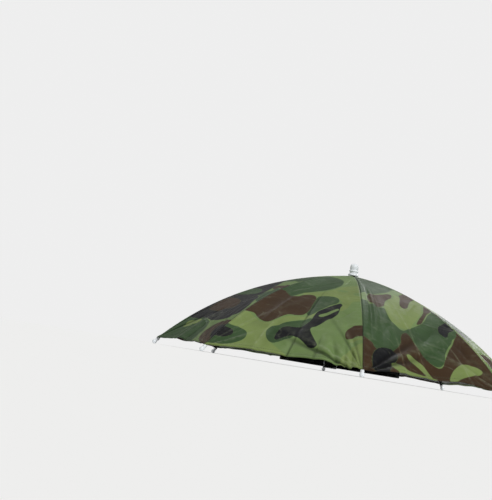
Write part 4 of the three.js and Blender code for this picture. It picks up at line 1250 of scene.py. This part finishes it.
def along_lines(name, lines, tree, values):
    """Runs a node tree on polylines and keeps its result as a plain mesh piece."""
    points, edges = [], []
    for line in lines:
        edges += [(len(points) + k, len(points) + k + 1) for k in range(len(line) - 1)]
        points += [tuple(p) for p in line]
    mesh = bpy.data.meshes.new(name + "_lines")
    mesh.from_pydata(points, edges, [])
    holder = bpy.data.objects.new(name + "_lines", mesh)
    bpy.context.scene.collection.objects.link(holder)
    modifier = holder.modifiers.new("nodes", "NODES")
    modifier.node_group = tree
    for identifier, value in values.items():
        modifier[identifier] = value
    evaluated = holder.evaluated_get(bpy.context.evaluated_depsgraph_get())
    result = bpy.data.meshes.new_from_object(evaluated)
    result.name = name
    bpy.data.objects.remove(holder)
    bpy.data.meshes.remove(mesh)
    result.polygons.foreach_set("use_smooth", np.ones(len(result.polygons), bool))
    made = bpy.data.objects.new(name, result)
    bpy.context.scene.collection.objects.link(made)
    declare(made)


def make_hem_stitches():
    """One row of lockstitch above the hem's edge, on the print and on the silver side."""
    lines = []
    for gore in gores:
        v = gore.layers["v"]
        for skin, lift in ((gore.outer, THREAD_LIFT), (gore.inner, -THREAD_LIFT)):
            line = []
            for k in range(2, v.shape[1] - 2):
                wanted = v[-1, k] - HEM_STITCH
                at = [np.interp(wanted, v[:, k], skin[:, k, axis]) for axis in range(3)]
                line.append(Vector(at) + Vector((0, 0, lift)))
            lines.append(line)
    tree, sockets = stitch_tree()
    values = {
        sockets["Stitch pitch"]: STITCH_PITCH,
        sockets["Stitch length"]: STITCH_LENGTH,
        sockets["Thread radius"]: THREAD_RADIUS,
        sockets["Thread"]: thread,
    }
    along_lines("hem_stitches", lines, tree, values)


make_hem_stitches()

TIE_PLACES = (0.36, 0.66, 0.84)  # shares of a rib where it is tied to the seam
TIE_TURNS = 4
TIE_PITCH = 0.0006
TIE_RADIUS = 0.00195  # thread to the rib's centre line
TIE_END = math.radians(50)  # how far above the rib's sides a turn goes into the cloth


def tie_turn(angle, share):
    """One turn of thread about a rib, from the cloth on one side of it to the other side."""
    centre = Vector(rib_point(angle, share, 0))
    outward = Vector(rib_point(angle, share, 1)) - centre
    side = Vector((-math.sin(angle), math.cos(angle), 0))
    turns = np.linspace(TIE_END, -math.pi - TIE_END, 14)
    return [centre + (side * math.cos(t) + outward * math.sin(t)) * TIE_RADIUS for t in turns]


def make_rib_ties():
    """Thread wound a few times about each rib and through the seam that lies on it."""
    lines = []
    for index in range(RIBS):
        for place in TIE_PLACES:
            for turn in range(TIE_TURNS):
                share = place + turn * TIE_PITCH / RIB_LENGTH
                lines.append(tie_turn(rib_angle(index), share))
    tree, sockets = tie_tree()
    values = {sockets["Thread radius"]: THREAD_RADIUS, sockets["Thread"]: thread}
    along_lines("rib_ties", lines, tree, values)


make_rib_ties()

NODE_FINISHES = {
    "rib": enamel,
    "stretcher": enamel,
    "band_stay": enamel,
    "shaft": enamel,
    "hub": black_plastic,
    "runner": black_plastic,
    "band_clip": white_plastic,
}
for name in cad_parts:
    finish = NODE_FINISHES.get(name.rstrip("0123456789").rstrip("_"))
    if finish:
        for material_slot in bpy.data.objects[name].material_slots:
            material_slot.material = finish


def make_floor():
    mesh = bpy.data.meshes.new("floor")
    corners = ((-1, -1), (1, -1), (1, 1), (-1, 1))
    points = [(x * FLOOR_SIZE, y * FLOOR_SIZE, 0) for x, y in corners]
    mesh.from_pydata(points, [], [(0, 1, 2, 3)])
    mesh.materials.append(matt_paper())
    floor = bpy.data.objects.new("floor", mesh)
    bpy.context.scene.collection.objects.link(floor)


def make_studio():
    """Soft suns, and a white room that the camera sees brighter than it shines."""
    world = bpy.data.worlds.new("studio")
    world.use_nodes = True
    tree = world.node_tree
    tree.nodes.clear()
    white = linear("#FFFFFF")
    room = add(tree, "ShaderNodeBackground", {"Color": white, "Strength": ROOM_LIGHT})
    seen = add(tree, "ShaderNodeBackground", {"Color": white, "Strength": ROOM_SEEN})
    by_camera = add(tree, "ShaderNodeLightPath").outputs["Is Camera Ray"]
    both = add(tree, "ShaderNodeMixShader", {0: by_camera, 1: room, 2: seen})
    add(tree, "ShaderNodeOutputWorld", {"Surface": both})
    bpy.context.scene.world = world
    for sun in SUNS:
        light = bpy.data.lights.new(sun.name, "SUN")
        light.angle = math.radians(sun.spread)
        light.energy = sun.strength
        lamp = bpy.data.objects.new(sun.name, light)
        bpy.context.scene.collection.objects.link(lamp)
        turn, rise = math.radians(sun.azimuth), math.radians(sun.elevation)
        flat = math.cos(rise)
        place = Vector((flat * math.cos(turn), flat * math.sin(turn), math.sin(rise)))
        lamp.location = place
        lamp.rotation_euler = (-place).to_track_quat("-Z", "Y").to_euler()
    bpy.context.scene.view_settings.view_transform = "Standard"


def make_camera():
    """The photograph's camera: its roll is kept, and the axis stands where the picture has it."""
    camera = bpy.data.objects.new("camera", bpy.data.cameras.new("camera"))
    bpy.context.scene.collection.objects.link(camera)
    camera.data.sensor_fit = "VERTICAL"
    camera.data.sensor_height = 36.0
    camera.data.lens = camera.data.sensor_height * FOCAL_PIXELS / PICTURE_HEIGHT
    camera.data.clip_start = CAMERA_HEIGHT
    place = Vector((math.cos(CAMERA_AZIMUTH), math.sin(CAMERA_AZIMUTH), 0)) * CAMERA_REACH
    place.z = CAMERA_HEIGHT
    right = AIM_PIXEL[0] - PICTURE_WIDTH / 2
    above = PICTURE_HEIGHT / 2 - AIM_PIXEL[1]
    seen = Vector((right, above, -FOCAL_PIXELS)).normalized()
    looking = (Vector((0, 0, AIM_HEIGHT)) - place).normalized()
    rolled = looking.to_track_quat("-Z", "Y").to_matrix() @ Matrix.Rotation(CAMERA_ROLL, 3, "Z")
    turn = (rolled @ seen).rotation_difference(looking).to_matrix()
    camera.matrix_world = Matrix.Translation(place) @ (turn @ rolled).to_4x4()
    bpy.context.scene.camera = camera


make_floor()
make_studio()
make_camera()
